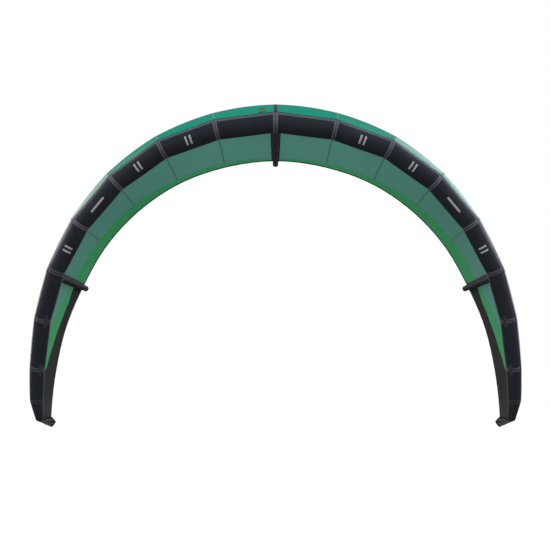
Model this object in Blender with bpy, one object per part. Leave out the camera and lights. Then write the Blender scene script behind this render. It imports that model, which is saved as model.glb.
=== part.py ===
"""Inflatable three-strut traction kite, in flight shape, modelled in metres with +Z up.

X runs along the span, +Y from the leading edge to the trailing edge, and the origin is on the
axis of the leading edge tube at the centre seam.
"""

import math

import bmesh
import bpy
from mathutils import Matrix, Vector

# Distance between pieces that touch
gap = 0.0003

# Leading edge tube, from the centre seam to a tip: stretches between seams
panel_length = 0.442
panel_length_shares = (1.02, 1.0, 1.0, 0.98, 0.945, 0.91, 0.915, 0.625, 0.365)
arch_angles_deg = (6.6, 18.1, 33.7, 47.8, 60.4, 72.3, 80.7, 85.0, 95.0)
sweep_angles_deg = (3.0, 7.5, 10.7, 11.8, 12.6, 15.5, 18.5, 21.0, 24.0)
tube_radius = 0.0745
tube_radius_shares = (1.0, 1.0, 1.0, 0.973, 0.926, 0.886, 0.85, 0.775, 0.68, 0.42)
tube_sides = 16
sleeve_wall = 0.0012
hem_width = 0.015
centre_hem_width = 0.018
hem_height = 0.0012
hem_ramp = 0.001
tip_dome_length = 0.022
tip_dome_turns_deg = (35.0, 65.0)

# Air bladder of the leading edge
bladder_wall = 0.001
bladder_clearance = 0.0009

# Canopy
centre_chord = 1.48
chord_shares = (1.0, 1.003, 1.012, 0.976, 0.915, 0.861, 0.679, 0.52, 0.426, 0.308)
front_handle_shares = (0.275, 0.256, 0.2, 0.173, 0.147, 0.108, 0.12, 0.136, 0.135, 0.125)
rear_handle_share = 0.42
rise_angles_deg = (46.0, 46.0, 44.0, 42.0, 39.0, 36.0, 34.0, 32.0, 28.0, 26.0)
rear_angles_deg = (12.0, 12.0, 11.5, 11.0, 10.5, 10.0, 9.0, 8.0, 6.0, 2.0)
canopy_seam_angle_deg = 62.0
canopy_bulge = 0.012
bulge_start_share = 0.35
cloth_thickness = 0.0012
edge_hem_width = 0.012
edge_hem_height = 0.001
chord_cells = 13
wedge_cells = 12
tip_panel_cells = 9
span_cells = 3
front_crowding = 1.4

# Dark tip panel: its front boundary as shares of the chord at stations past the side strut, to
# the seam where it reaches the tube. A station is a seam's number from the centre
tip_boundary_stations = (5.5, 6.0, 6.5, 7.0, 7.4, 7.65, 7.8, 7.9, 8.0)
tip_boundary_shares = (0.89, 0.87, 0.825, 0.745, 0.6, 0.4, 0.19, 0.05, 0.0)
wedge_point_margin = 0.02

# Corner flap below each tip
flap_reach = 0.655
flap_drop = 0.097
flap_rear_reach_shares = (1.0, 0.855)
flap_rear_drop_shares = (0.54, 1.0)
flap_front_drop_shares = (0.03, 0.06)
flap_lean = 0.02
flap_lean_shares = (0.0, 1.0)

# Struts: one on the centre seam and one just past each side seam
side_strut_seam = 5
side_strut_past_seam = 0.022
centre_strut_front_radius = 0.060
side_strut_front_radius = 0.040
strut_rear_radius = 0.0245
strut_overhang = 0.03
strut_cap_length = 0.028
cap_collar_share = 0.3
cap_dome_turns_deg = (30.0, 55.0, 78.0)
strut_sides = 12
strut_bladder_front_reach = 0.13

# Inflation hoses between the leading edge and each strut
hose_radius = 0.008
hose_wall = 0.0014
hose_side_offset = 0.05
hose_port_angle_deg = 168.75
hose_entry_reach = 0.25
hose_entry_turn_deg = 135.0
hose_end_gap = 0.0005
hose_front_handle = 0.10
hose_rear_handle = 0.06
hose_sides = 10
hose_front_rings = 2
hose_rear_rings = 5
hose_bite_share = 0.45
pinch_width = 0.021
pinch_thickness = 0.0034
pinch_margin = 0.001
pinch_run = 0.02
path_samples = 60
halvings = 20

# Clip that pinches a hose shut
clip_width = 0.012
clip_half_space = 0.0125
clip_bar = 0.004
clip_post = 0.003
clip_latch_rise = 0.002
clip_rod_radius = 0.0024
clip_curl_wall = 0.002
clip_pivot_offset = 0.004
clip_neck = 0.0026
clip_neck_length = 0.0006
clip_thumb_rise = 0.003
clip_thumb_length = 0.008
clip_open_deg = 75.0
clip_mouth_margin_deg = 6.0
arc_steps = 8

# Inflation valve beside the centre strut
valve_seam_distance = 0.16
valve_facet_angle_deg = 168.75
valve_sides = 24
collar_bore_radius = 0.0155
collar_wall = 0.0035
collar_height = 0.010
collar_lip = 0.0025
collar_lip_height = 0.0025
insert_depth = 0.011
insert_bore_radius = 0.0115
insert_rim_height = 0.0022
insert_rim_overhang = 0.003
insert_ear_length = 0.006
insert_ear_half_angle_deg = 24.0
cap_thickness = 0.0022
cap_plug_depth = 0.002
cap_plug_wall = 0.002

# Bridle straps on the tube
bridle_seams = (6, 7)
bridle_angle_deg = -33.75
strap_half_length = 0.05
strap_pad_half_length = 0.02
strap_width = 0.018
strap_thickness = 0.0022
strap_pad_rise = 0.006

# Rear line pigtail under each corner flap
pigtail_radius = 0.0016
pigtail_length = 0.044
pigtail_lean_deg = 20.0
pigtail_chord_share = 0.6
pigtail_knot_scale = 2.2
knot_place_share = 0.86
knot_spread_share = 0.07
pigtail_points = 13

# Cutters: overrun past what they cut, and the sides of a round hole
overrun = 0.02
hole_sides = 20

# Smooth shading stops at edges sharper than this
smooth_angle_deg = 35.0
hose_smooth_angle_deg = 50.0


def clear_scene():
    for item in list(bpy.data.objects):
        bpy.data.objects.remove(item, do_unlink=True)


def linear(channel):
    """Linear light value of an 8 bit sRGB channel."""
    c = channel / 255.0
    if c <= 0.04045:
        return c / 12.92
    return ((c + 0.055) / 1.055) ** 2.4


def make_material(name, srgb, roughness, metallic=0.0):
    material = bpy.data.materials.new(name)
    material.use_nodes = True
    shader = material.node_tree.nodes["Principled BSDF"]
    colour = [linear(c) for c in srgb] + [1.0]
    shader.inputs["Base Color"].default_value = colour
    shader.inputs["Roughness"].default_value = roughness
    shader.inputs["Metallic"].default_value = metallic
    material.diffuse_color = colour
    return material


def unit(vector):
    return vector.normalized()


def mirrored(point, side):
    """The point on the side of the kite where X has the sign of side."""
    return Vector((side * point.x, point.y, point.z))


def side_name(side):
    return "right" if side > 0 else "left"


class Station:
    """One seam of the leading edge on the +X half: axis point, tube radius and section axes."""

    def __init__(self, axis, radius, along):
        self.axis = axis
        self.radius = radius
        self.along = unit(along)
        forward = Vector((0.0, -1.0, 0.0))
        self.forward = unit(forward - forward.dot(self.along) * self.along)
        self.outward = unit(self.forward.cross(self.along))

    def radial(self, angle):
        """Unit vector at an angle from forward, turning outward."""
        return math.cos(angle) * self.forward + math.sin(angle) * self.outward

    def rim(self, angle, radius):
        return self.axis + radius * self.radial(angle)


def stretch_length(index):
    """Length of the tube from a seam to the next."""
    return panel_length * panel_length_shares[index]


def make_stations():
    """Seams from the centre to the tip of the +X half. Section planes halve each bend."""
    directions = []
    for arch, sweep in zip(arch_angles_deg, sweep_angles_deg):
        arch, sweep = math.radians(arch), math.radians(sweep)
        flat = Vector((math.cos(arch), 0.0, -math.sin(arch)))
        directions.append(math.cos(sweep) * flat + math.sin(sweep) * Vector((0.0, 1.0, 0.0)))
    point = Vector((0.0, 0.0, 0.0))
    axes = [point]
    for index, direction in enumerate(directions):
        point = point + stretch_length(index) * direction
        axes.append(point)
    stations = []
    for index, (axis, share) in enumerate(zip(axes, tube_radius_shares)):
        if index == 0:
            along = Vector((1.0, 0.0, 0.0))
        elif index == len(directions):
            along = directions[-1]
        else:
            along = directions[index - 1] + directions[index]
        stations.append(Station(axis, tube_radius * share, along))
    return stations


stations = make_stations()
tip = len(stations) - 1
side_strut_station = side_strut_seam + side_strut_past_seam / stretch_length(side_strut_seam)


def ring_between(first, second, share, angles, growth):
    """Ring of points on the tube between two stations, its radius grown by growth."""
    points = []
    for angle in angles:
        a = first.rim(angle, first.radius + growth)
        b = second.rim(angle, second.radius + growth)
        points.append(a.lerp(b, share))
    return points


def turn_angles(count):
    return [2.0 * math.pi * i / count for i in range(count)]


def bridge(bm, ring_a, ring_b):
    count = len(ring_a)
    for i in range(count):
        j = (i + 1) % count
        bm.faces.new((ring_a[i], ring_a[j], ring_b[j], ring_b[i]))


def add_rings(bm, rings):
    """Vertices of the rings, with each ring bridged to the next."""
    made = [[bm.verts.new(point) for point in ring] for ring in rings]
    for ring_a, ring_b in zip(made[:-1], made[1:]):
        bridge(bm, ring_a, ring_b)
    return made


def add_closed_tube(bm, rings):
    made = add_rings(bm, rings)
    bm.faces.new(list(reversed(made[0])))
    bm.faces.new(made[-1])


def add_hollow_tube(bm, outer, inner, close_start=False, close_end=False):
    """Tube with a wall between the outer and the inner rings, open or closed at each end."""
    shell = add_rings(bm, outer)
    lining = add_rings(bm, inner)
    for end, closed in ((0, close_start), (-1, close_end)):
        if closed:
            bm.faces.new(shell[end])
            bm.faces.new(lining[end])
        else:
            bridge(bm, shell[end], lining[end])


def add_sheet(bm, under, over):
    """Closed sheet between two grids of points of the same shape."""
    low = [[bm.verts.new(point) for point in row] for row in under]
    high = [[bm.verts.new(point) for point in row] for row in over]
    rows, columns = len(low), len(low[0])
    for i in range(rows - 1):
        for j in range(columns - 1):
            for grid in (low, high):
                a, b = grid[i][j], grid[i + 1][j]
                c, d = grid[i + 1][j + 1], grid[i][j + 1]
                bm.faces.new((a, b, c, d))
    for j in range(columns - 1):
        for i in (0, rows - 1):
            bm.faces.new((low[i][j], low[i][j + 1], high[i][j + 1], high[i][j]))
    for i in range(rows - 1):
        for j in (0, columns - 1):
            bm.faces.new((low[i][j], low[i + 1][j], high[i + 1][j], high[i][j]))


def add_prism(bm, outline, depth):
    """Outline in the local XY plane, extruded half of depth each way along Z."""
    face = bm.faces.new([bm.verts.new((x, y, -depth / 2)) for x, y in outline])
    made = bmesh.ops.extrude_face_region(bm, geom=[face])
    moved = [item for item in made["geom"] if isinstance(item, bmesh.types.BMVert)]
    bmesh.ops.translate(bm, verts=moved, vec=Vector((0.0, 0.0, depth)))


def to_object(name, bm, material, origin=None, smooth_deg=smooth_angle_deg):
    """Object of the mesh with faces out. Its origin is put at origin, in world space."""
    bmesh.ops.recalc_face_normals(bm, faces=bm.faces)
    mesh = bpy.data.meshes.new(name)
    bm.to_mesh(mesh)
    bm.free()
    item = bpy.data.objects.new(name, mesh)
    bpy.context.collection.objects.link(item)
    if origin is not None:
        mesh.transform(Matrix.Translation(-origin))
        item.location = origin
    mesh.shade_smooth()
    mesh.set_sharp_from_angle(angle=math.radians(smooth_deg))
    if material is not None:
        mesh.materials.append(material)
    return item


def make_cutter(name, rings):
    bm = bmesh.new()
    add_closed_tube(bm, rings)
    cutter = to_object(name, bm, None)
    cutter.hide_render = True
    cutter.display_type = "WIRE"
    return cutter


def round_cutter(name, start, end, radius, sides):
    along = unit(end - start)
    across = unit(along.orthogonal())
    other = along.cross(across)
    rings = []
    for centre in (start, end):
        ring = []
        for angle in turn_angles(sides):
            ring.append(centre + radius * (math.cos(angle) * across + math.sin(angle) * other))
        rings.append(ring)
    return make_cutter(name, rings)


def cut(piece, cutter):
    modifier = piece.modifiers.new("cut_" + cutter.name, "BOOLEAN")
    modifier.operation = "DIFFERENCE"
    modifier.solver = "EXACT"
    modifier.object = cutter


def hem_width_at(index):
    return centre_hem_width if index == 0 else hem_width


def make_sleeve_panel(index, side, material):
    """Straight cloth tube from one seam to the next, with a raised hem at each seam."""
    first, second = stations[index], stations[index + 1]
    length = stretch_length(index)
    angles = turn_angles(tube_sides)
    near, far = hem_width_at(index), hem_width_at(index + 1)
    stops = (
        (gap / 2, hem_height),
        (near, hem_height),
        (near + hem_ramp, 0.0),
        (length - far - hem_ramp, 0.0),
        (length - far, hem_height),
        (length - gap / 2, hem_height),
    )
    outer = [ring_between(first, second, s / length, angles, rise) for s, rise in stops]
    ends = (stops[0][0], stops[-1][0])
    inner = [ring_between(first, second, s / length, angles, -sleeve_wall) for s in ends]
    bm = bmesh.new()
    add_hollow_tube(
        bm,
        [[mirrored(p, side) for p in ring] for ring in outer],
        [[mirrored(p, side) for p in ring] for ring in inner],
    )
    name = f"leading_edge_panel_{side_name(side)}_{index + 1}"
    return to_object(name, bm, material, mirrored(first.axis, side))


def make_sleeve_tip(side, material):
    """Last stretch of the tube with its hem and a domed end."""
    first, second = stations[tip - 1], stations[tip]
    length = stretch_length(tip - 1)
    angles = turn_angles(tube_sides)
    stops = (
        (gap / 2, hem_height),
        (hem_width, hem_height),
        (hem_width + hem_ramp, 0.0),
        (length, 0.0),
    )
    outer = [ring_between(first, second, s / length, angles, rise) for s, rise in stops]
    ends = (gap / 2, length)
    inner = [ring_between(first, second, s / length, angles, -sleeve_wall) for s in ends]
    for turn_deg in tip_dome_turns_deg:
        turn = math.radians(turn_deg)
        centre = second.axis + tip_dome_length * math.sin(turn) * second.along
        lining = centre - sleeve_wall * second.along
        radius = second.radius * math.cos(turn)
        outer.append([centre + radius * second.radial(a) for a in angles])
        inner.append([lining + (radius - sleeve_wall) * second.radial(a) for a in angles])
    bm = bmesh.new()
    add_hollow_tube(
        bm,
        [[mirrored(p, side) for p in ring] for ring in outer],
        [[mirrored(p, side) for p in ring] for ring in inner],
        close_end=True,
    )
    name = f"leading_edge_tip_{side_name(side)}"
    return to_object(name, bm, material, mirrored(first.axis, side))


def make_tube_bladder(material):
    """One long air bladder through the whole tube, closed at both tips."""
    angles = turn_angles(tube_sides)
    shrink = sleeve_wall + bladder_clearance
    outer, inner = [], []
    for index in range(tip - 1, 0, -1):
        station = stations[index]
        for rings, less in ((outer, shrink), (inner, shrink + bladder_wall)):
            rings.append([mirrored(station.rim(a, station.radius - less), -1) for a in angles])
    for index in range(0, tip):
        station = stations[index]
        for rings, less in ((outer, shrink), (inner, shrink + bladder_wall)):
            rings.append([station.rim(a, station.radius - less) for a in angles])
    # Each end runs half way into the tip stretch and is closed there
    first, second = stations[tip - 1], stations[tip]
    for rings, less in ((outer, shrink), (inner, shrink + bladder_wall)):
        last = ring_between(first, second, 0.5, angles, -less)
        rings.append(last)
        rings.insert(0, [mirrored(p, -1) for p in last])
    for end in (0, -1):
        centre = sum(inner[end], Vector()) / len(angles)
        neighbour = sum(inner[1 if end == 0 else -2], Vector()) / len(angles)
        step = bladder_wall * unit(neighbour - centre)
        inner[end] = [p + step for p in inner[end]]
    bm = bmesh.new()
    add_hollow_tube(bm, outer, inner, close_start=True, close_end=True)
    return to_object("leading_edge_bladder", bm, material)


class Section:
    """Under side of the canopy at one station, a cubic curve from the tube to the trailing edge."""

    def __init__(self, start, start_handle, end_handle, end):
        self.points = (start, start_handle, end_handle, end)

    def mixed(self, other, share):
        return Section(*(a.lerp(b, share) for a, b in zip(self.points, other.points)))

    def at(self, v):
        a, b, c, d = self.points
        w = 1.0 - v
        return w**3 * a + 3 * w * w * v * b + 3 * w * v * v * c + v**3 * d


def make_sections():
    seam_angle = math.radians(canopy_seam_angle_deg)
    back = Vector((0.0, 1.0, 0.0))
    lap = hem_height + gap
    sections = []
    table = zip(stations, chord_shares, front_handle_shares, rise_angles_deg, rear_angles_deg)
    for station, chord_share, handle_share, rise_angle, rear_angle in table:
        chord = centre_chord * chord_share
        start = station.rim(seam_angle, station.radius + lap)
        flat_out = unit(Vector((station.outward.x, 0.0, station.outward.z)))
        rise = math.radians(rise_angle)
        leave = math.cos(rise) * back + math.sin(rise) * flat_out
        slope = math.radians(rear_angle)
        arrive = math.cos(slope) * back - math.sin(slope) * flat_out
        end = station.axis + chord * back
        sections.append(
            Section(
                start,
                start + handle_share * chord * leave,
                end - rear_handle_share * chord * arrive,
                end,
            )
        )
    # Two more sections carry the corner flap below the tip
    last = sections[-1]
    down = stations[tip].along
    down = unit(Vector((down.x, 0.0, down.z)))
    flap = zip(
        flap_rear_reach_shares, flap_rear_drop_shares, flap_front_drop_shares, flap_lean_shares
    )
    for reach_share, rear_drop_share, front_drop_share, lean_share in flap:
        start = last.points[0] + flap_drop * front_drop_share * down
        end = stations[tip].axis + flap_reach * reach_share * back
        end = end + flap_drop * rear_drop_share * down
        end = end + Vector((flap_lean * lean_share, 0.0, 0.0))
        sections.append(Section(start, start.lerp(end, 1 / 3), start.lerp(end, 2 / 3), end))
    return sections


sections = make_sections()


def bulge_direction(index):
    """Outward direction half way along a stretch of the tube."""
    later = min(index + 1, tip)
    return unit(stations[min(index, tip)].outward + stations[later].outward)


def smooth_step(x):
    x = min(max(x, 0.0), 1.0)
    return x * x * (3.0 - 2.0 * x)


def canopy_point(u, v):
    """Point of the canopy's under side at station u, at the share v of the way back."""
    index = min(int(u), len(sections) - 2)
    share = u - index
    point = sections[index].mixed(sections[index + 1], share).at(v)
    if index >= tip:
        return point
    swell = canopy_bulge * panel_length_shares[index] * 4.0 * share * (1.0 - share)
    return point + swell * smooth_step(v / bulge_start_share) * bulge_direction(index)


def canopy_normal(u, v):
    """Outward normal of the canopy, averaged over the seam where u lies on one."""
    small = 0.001
    top = len(sections) - 1
    v0, v1 = max(v - small, 0.0), min(v + small, 1.0)
    back = canopy_point(u, v1) - canopy_point(u, v0)
    if u < small:
        along = Vector((1.0, 0.0, 0.0))
    else:
        along = canopy_point(min(u + small, top), v) - canopy_point(u - small, v)
    return unit(along.cross(back))


def chord_at(u):
    return (canopy_point(u, 1.0) - canopy_point(u, 0.0)).length


def chord_stops(front, back, cells):
    """Chord shares of the rows of a sheet, closer together where it lies on the tube."""
    first, last = (share ** (1.0 / front_crowding) for share in (front, back))
    return [(first + (last - first) * i / cells) ** front_crowding for i in range(cells + 1)]


def chord_rows(u, front, back, cells):
    """Rows of a sheet at station u: chord share and thickness, the trailing edge with its hem."""
    if back < 1.0:
        return [(v, cloth_thickness) for v in chord_stops(front, back, cells)]
    chord = chord_at(u)
    flat_end = 1.0 - (edge_hem_width + hem_ramp) / chord
    rows = [(v, cloth_thickness) for v in chord_stops(front, flat_end, cells)]
    hemmed = cloth_thickness + edge_hem_height
    return rows + [(1.0 - edge_hem_width / chord, hemmed), (1.0, hemmed)]


def make_canopy_piece(name, side, stops, cells, front_of, back_of, material):
    under, over = [], []
    for u in stops:
        rows = chord_rows(u, front_of(u), back_of(u), cells)
        low = [canopy_point(u, v) for v, _ in rows]
        high = [p + rise * canopy_normal(u, v) for p, (v, rise) in zip(low, rows)]
        under.append([mirrored(p, side) for p in low])
        over.append([mirrored(p, side) for p in high])
    bm = bmesh.new()
    add_sheet(bm, under, over)
    origin = mirrored(sections[int(stops[0])].points[0], side)
    return to_object(name, bm, material, origin)


def trim_at(index):
    """Half the gap between pieces, in stations, on the stretch that starts at index."""
    return gap / 2 / stretch_length(index)


def make_canopy_gore(index, side, material):
    start, end = index + trim_at(index), index + 1 - trim_at(index)
    if index + 1 == side_strut_seam:
        end = float(side_strut_seam)
    stops = [start + (end - start) * i / span_cells for i in range(span_cells + 1)]
    if index + 1 == side_strut_seam:
        stops.append(side_strut_station - trim_at(side_strut_seam))
    name = f"canopy_panel_{side_name(side)}_{index + 1}"
    return make_canopy_piece(name, side, stops, chord_cells, lambda u: 0.0, lambda u: 1.0, material)


def tip_boundary(u):
    """Chord share of the line between the light and the dark cloth of a tip."""
    strut_rows = chord_rows(side_strut_station, 0.0, 1.0, chord_cells)
    pairs = [(side_strut_station, strut_rows[wedge_cells][0])]
    pairs += zip(tip_boundary_stations, tip_boundary_shares)
    for (u0, v0), (u1, v1) in zip(pairs[:-1], pairs[1:]):
        if u <= u1:
            return v0 + (v1 - v0) * max(u - u0, 0.0) / (u1 - u0)
    return 0.0


def wedge_back(u):
    """Chord share where the light wedge ends, half a gap short of the line."""
    return tip_boundary(u) - gap / 2 / chord_at(u)


def wedge_stops():
    """Stations of the light wedge, from the side strut to its point beside the last seam."""
    last = int(tip_boundary_stations[-1])
    stops = [side_strut_station + trim_at(side_strut_seam)]
    stops += tip_boundary_stations[:-1]
    return stops + [last - wedge_point_margin / stretch_length(last - 1)]


def make_tip_wedge(side, material):
    """Light cloth between the tube and the dark tip panel, narrowing to a point at a seam."""
    name = f"canopy_wedge_{side_name(side)}"
    stops = wedge_stops()
    return make_canopy_piece(name, side, stops, wedge_cells, lambda u: 0.0, wedge_back, material)


def make_tip_panel(side, material):
    """Dark cloth from the side strut to the tip, with the corner flap below the tip."""
    last = int(tip_boundary_stations[-1])
    stops = wedge_stops() + [float(i) for i in range(last, len(sections))]

    def front_of(u):
        return wedge_back(u) + gap / chord_at(u) if u < last else 0.0

    name = f"tip_panel_{side_name(side)}"
    return make_canopy_piece(name, side, stops, tip_panel_cells, front_of, lambda u: 1.0, material)


class StrutPath:
    """Centre line of a strut that hangs under the canopy at one station."""

    def __init__(self, station, side, front_radius):
        self.station = station
        self.seam = int(station)
        self.side = side
        self.front_radius = front_radius
        self.length = chord_at(station)
        outward = stations[self.seam].outward
        self.flat_outward = unit(Vector((outward.x, 0.0, outward.z)))

    def radius(self, share):
        return self.front_radius + (strut_rear_radius - self.front_radius) * min(share, 1.0)

    def frame(self, share):
        """Centre, direction, up and across at a share of the chord, past 1 on the overhang."""
        v = min(share, 1.0)
        small = 0.001
        v0, v1 = max(v - small, 0.0), min(v + small, 1.0)
        along = unit(canopy_point(self.station, v1) - canopy_point(self.station, v0))
        up = unit(self.flat_outward - self.flat_outward.dot(along) * along)
        centre = canopy_point(self.station, v) - (self.radius(v) + gap) * up
        centre = centre + max(share - 1.0, 0.0) * self.length * along
        across = along.cross(up)
        return [mirrored(item, self.side) for item in (centre, along, up, across)]

    def facet_point(self, share, turn):
        """Middle of a flat of the strut at a share of the chord, and its outward normal."""
        rows = [v for v, _ in chord_rows(self.station, 0.0, 1.0, chord_cells)]
        before = max(v for v in rows if v <= share)
        after = min(v for v in rows if v > share)
        mix = (share - before) / (after - before)
        step = math.pi / strut_sides
        edges = []
        for angle in (turn - step, turn + step):
            ends = []
            for v in (before, after):
                centre, _, up, across = self.frame(v)
                out = math.cos(angle) * up + math.sin(angle) * across
                ends.append(centre + self.radius(v) * out)
            edges.append(ends)
        first, second = (a.lerp(b, mix) for a, b in edges)
        point = (first + second) / 2
        normal = unit((edges[0][1] - edges[0][0]).cross(second - first))
        if normal.dot(point - self.frame(share)[0]) < 0:
            normal = -normal
        return point, normal

    def share_at(self, reach):
        """Share of the chord at this distance behind the front edge of the canopy."""
        low, high = 0.0, 1.0
        front = canopy_point(self.station, low)
        for _ in range(halvings):
            middle = (low + high) / 2
            if canopy_point(self.station, middle).y - front.y < reach:
                low = middle
            else:
                high = middle
        return low

    def ring(self, share, shrink, sides, scale=1.0):
        centre, _, up, across = self.frame(share)
        radius = self.radius(share) * scale - shrink
        return [
            centre + radius * (math.cos(a) * up + math.sin(a) * across)
            for a in turn_angles(sides)
        ]


def strut_paths():
    return {
        "centre": StrutPath(0, 1, centre_strut_front_radius),
        "left": StrutPath(side_strut_station, -1, side_strut_front_radius),
        "right": StrutPath(side_strut_station, 1, side_strut_front_radius),
    }


def tube_cope_cutter(name, path):
    """Solid of the tube round a strut's seam, grown by the gap, that copes the strut's front."""
    angles = turn_angles(tube_sides)
    growth = hem_height + gap
    rings = []
    if path.seam == 0:
        second = stations[1]
        rings.append([mirrored(second.rim(a, second.radius + growth), -1) for a in angles])
    around = stations[max(path.seam - 1, 0) : path.seam + 2]
    for station in around:
        ring = [station.rim(a, station.radius + growth) for a in angles]
        rings.append([mirrored(p, path.side) for p in ring])
    return make_cutter(name, rings)


def make_strut(name, path, cope, materials):
    rows = [v for v, _ in chord_rows(path.station, 0.0, 1.0, chord_cells)][: chord_cells + 1]
    end = 1.0 + (strut_overhang - strut_cap_length) / path.length
    shares = rows[1:] + [end]
    bm = bmesh.new()
    add_hollow_tube(
        bm,
        [path.ring(s, 0.0, strut_sides) for s in shares],
        [path.ring(s, sleeve_wall, strut_sides) for s in shares],
    )
    sleeve = to_object(f"strut_sleeve_{name}", bm, materials["sleeve"], path.frame(0.0)[0])
    cut(sleeve, cope)

    shrink = sleeve_wall + bladder_clearance
    front = path.share_at(strut_bladder_front_reach)
    shares = [v for v in rows if v > front]
    outer = [path.ring(s, shrink, strut_sides) for s in shares]
    inner = [path.ring(s, shrink + bladder_wall, strut_sides) for s in shares]
    for end_index, sign in ((0, 1.0), (-1, -1.0)):
        step = sign * bladder_wall * path.frame(shares[end_index])[1]
        inner[end_index] = [p + step for p in inner[end_index]]
    bm = bmesh.new()
    add_hollow_tube(bm, outer, inner, close_start=True, close_end=True)
    origin = path.frame(shares[0])[0]
    bladder = to_object(f"strut_bladder_{name}", bm, materials["bladder"], origin)

    # Cap: a short straight collar, then a dome
    cap_share = strut_cap_length / path.length
    seat = end + gap / path.length
    dome_start = seat + cap_share * cap_collar_share
    rings = [path.ring(seat, 0.0, strut_sides), path.ring(dome_start, 0.0, strut_sides)]
    for turn_deg in cap_dome_turns_deg:
        turn = math.radians(turn_deg)
        share = dome_start + cap_share * (1.0 - cap_collar_share) * math.sin(turn)
        rings.append(path.ring(share, 0.0, strut_sides, math.cos(turn)))
    bm = bmesh.new()
    add_closed_tube(bm, rings)
    to_object(f"strut_cap_{name}", bm, materials["cap"], path.frame(seat)[0])
    return sleeve, bladder


def facet_point(index, side, distance, angle, growth):
    """Middle of a flat of the tube at a distance from a seam, its outward normal and direction."""
    first, second = stations[index], stations[index + 1]
    step = math.pi / tube_sides
    ends = []
    for turn in (angle - step, angle + step):
        a = first.rim(turn, first.radius + growth)
        b = second.rim(turn, second.radius + growth)
        ends.append(mirrored(a.lerp(b, distance / stretch_length(index)), side))
    along = unit(mirrored(second.axis - first.axis, side))
    normal = unit(along.cross(ends[1] - ends[0]))
    point = (ends[0] + ends[1]) / 2
    if normal.dot(point - mirrored(first.axis, side)) < 0:
        normal = -normal
    return point, normal, along


class HosePath:
    """Space curve of a hose from the back of the tube to the under side of a strut."""

    def __init__(self, path):
        self.side = path.side
        index = path.seam
        angle = math.radians(hose_port_angle_deg)
        offset = hose_side_offset + (path.station - index) * stretch_length(index)
        point, normal, along = facet_point(index, path.side, offset, angle, 0.0)
        self.port = point
        self.port_normal = normal
        share = path.share_at(hose_entry_reach)
        across = path.frame(share)[3]
        self.sideways = across if across.dot(along) > 0 else -across
        turn = math.radians(hose_entry_turn_deg)
        if across.dot(along) < 0:
            turn = -turn
        self.entry, self.entry_normal = path.facet_point(share, turn)
        self.handle_a = self.port + hose_front_handle * normal
        self.handle_b = self.entry + hose_rear_handle * self.entry_normal
        # The ends reach inside the sleeves and stop just off the bladders
        reach = sleeve_wall + bladder_clearance - hose_end_gap
        self.start = self.port - reach * normal
        self.end = self.entry - reach * self.entry_normal

    def at(self, t):
        w = 1.0 - t
        a, b, c, d = self.port, self.handle_a, self.handle_b, self.entry
        return w**3 * a + 3 * w * w * t * b + 3 * w * t * t * c + t**3 * d

    def tangent(self, t):
        small = 0.001
        return unit(self.at(min(t + small, 1.0)) - self.at(max(t - small, 0.0)))

    def frame(self, t):
        """Centre, direction, wide and thin axes of the section, thin pointing off the canopy."""
        along = self.tangent(t)
        wide = unit(self.sideways - self.sideways.dot(along) * along)
        thin = -self.side * wide.cross(along)
        return self.at(t), along, wide, thin

    def total(self):
        steps = [self.at(i / path_samples) for i in range(path_samples + 1)]
        return sum((b - a).length for a, b in zip(steps[:-1], steps[1:]))

    def share_at(self, distance):
        """Curve parameter at a distance along the hose."""
        walked = 0.0
        for i in range(path_samples):
            a, b = self.at(i / path_samples), self.at((i + 1) / path_samples)
            step = (b - a).length
            if walked + step >= distance:
                return (i + (distance - walked) / step) / path_samples
            walked += step
        return 1.0

    def stops(self):
        """Frames along the hose with the flatness of its section, closest at the pinched waist."""
        total = self.total()
        bite = hose_bite_share * total
        half = clip_width / 2 + pinch_margin
        near, far = bite - half - pinch_run, bite + half + pinch_run
        placed = [(near * i / hose_front_rings, 0.0) for i in range(hose_front_rings + 1)]
        placed += [(near + pinch_run / 2, 0.5)]
        frames = [(self.frame(self.share_at(d)), squash) for d, squash in placed]
        centre, along, wide, thin = self.frame(self.share_at(bite))
        for reach in (-half, half):
            frames.append(((centre + reach * along, along, wide, thin), 1.0))
        placed = [(far - pinch_run / 2, 0.5)]
        step = (total - far) / hose_rear_rings
        placed += [(far + i * step, 0.0) for i in range(hose_rear_rings + 1)]
        return frames + [(self.frame(self.share_at(d)), squash) for d, squash in placed]

    def bite_frame(self):
        return self.frame(self.share_at(hose_bite_share * self.total()))


def hose_section(squash, angle, shrink):
    """Point of the section, round at squash 0 and flat at squash 1."""
    round_x, round_y = hose_radius * math.cos(angle), hose_radius * math.sin(angle)
    half = pinch_thickness / 2
    straight = pinch_width / 2 - half
    flat_x = math.copysign(straight, math.cos(angle)) * min(1.0, abs(math.cos(angle)) * 2.0)
    flat_x += half * math.cos(angle)
    flat_y = half * math.copysign(min(1.0, abs(math.sin(angle)) * 1.6), math.sin(angle))
    x = round_x + (flat_x - round_x) * squash
    y = round_y + (flat_y - round_y) * squash
    reach_x = hose_radius + (pinch_width / 2 - hose_radius) * squash
    reach_y = hose_radius + (half - hose_radius) * squash
    return x * (1.0 - shrink / reach_x), y * (1.0 - shrink / reach_y)


def make_hose(name, hose, material):
    """Thin walled hose, round at its ends and flat where the clip pinches it."""
    outer, inner = [], []
    for (centre, along, wide, thin), squash in hose.stops():
        wall = hose_wall + (pinch_thickness / 2 - gap - hose_wall) * squash
        for rings, shrink in ((outer, 0.0), (inner, wall)):
            ring = []
            for angle in turn_angles(hose_sides):
                x, y = hose_section(squash, angle + math.pi / hose_sides, shrink)
                ring.append(centre + x * wide + y * thin)
            rings.append(ring)
    for rings in (outer, inner):
        rings.insert(0, [p + (hose.start - hose.port) for p in rings[0]])
        rings.append([p + (hose.end - hose.entry) for p in rings[-1]])
    bm = bmesh.new()
    add_hollow_tube(bm, outer, inner)
    return to_object(f"hose_{name}", bm, material, hose.port, hose_smooth_angle_deg)


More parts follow.
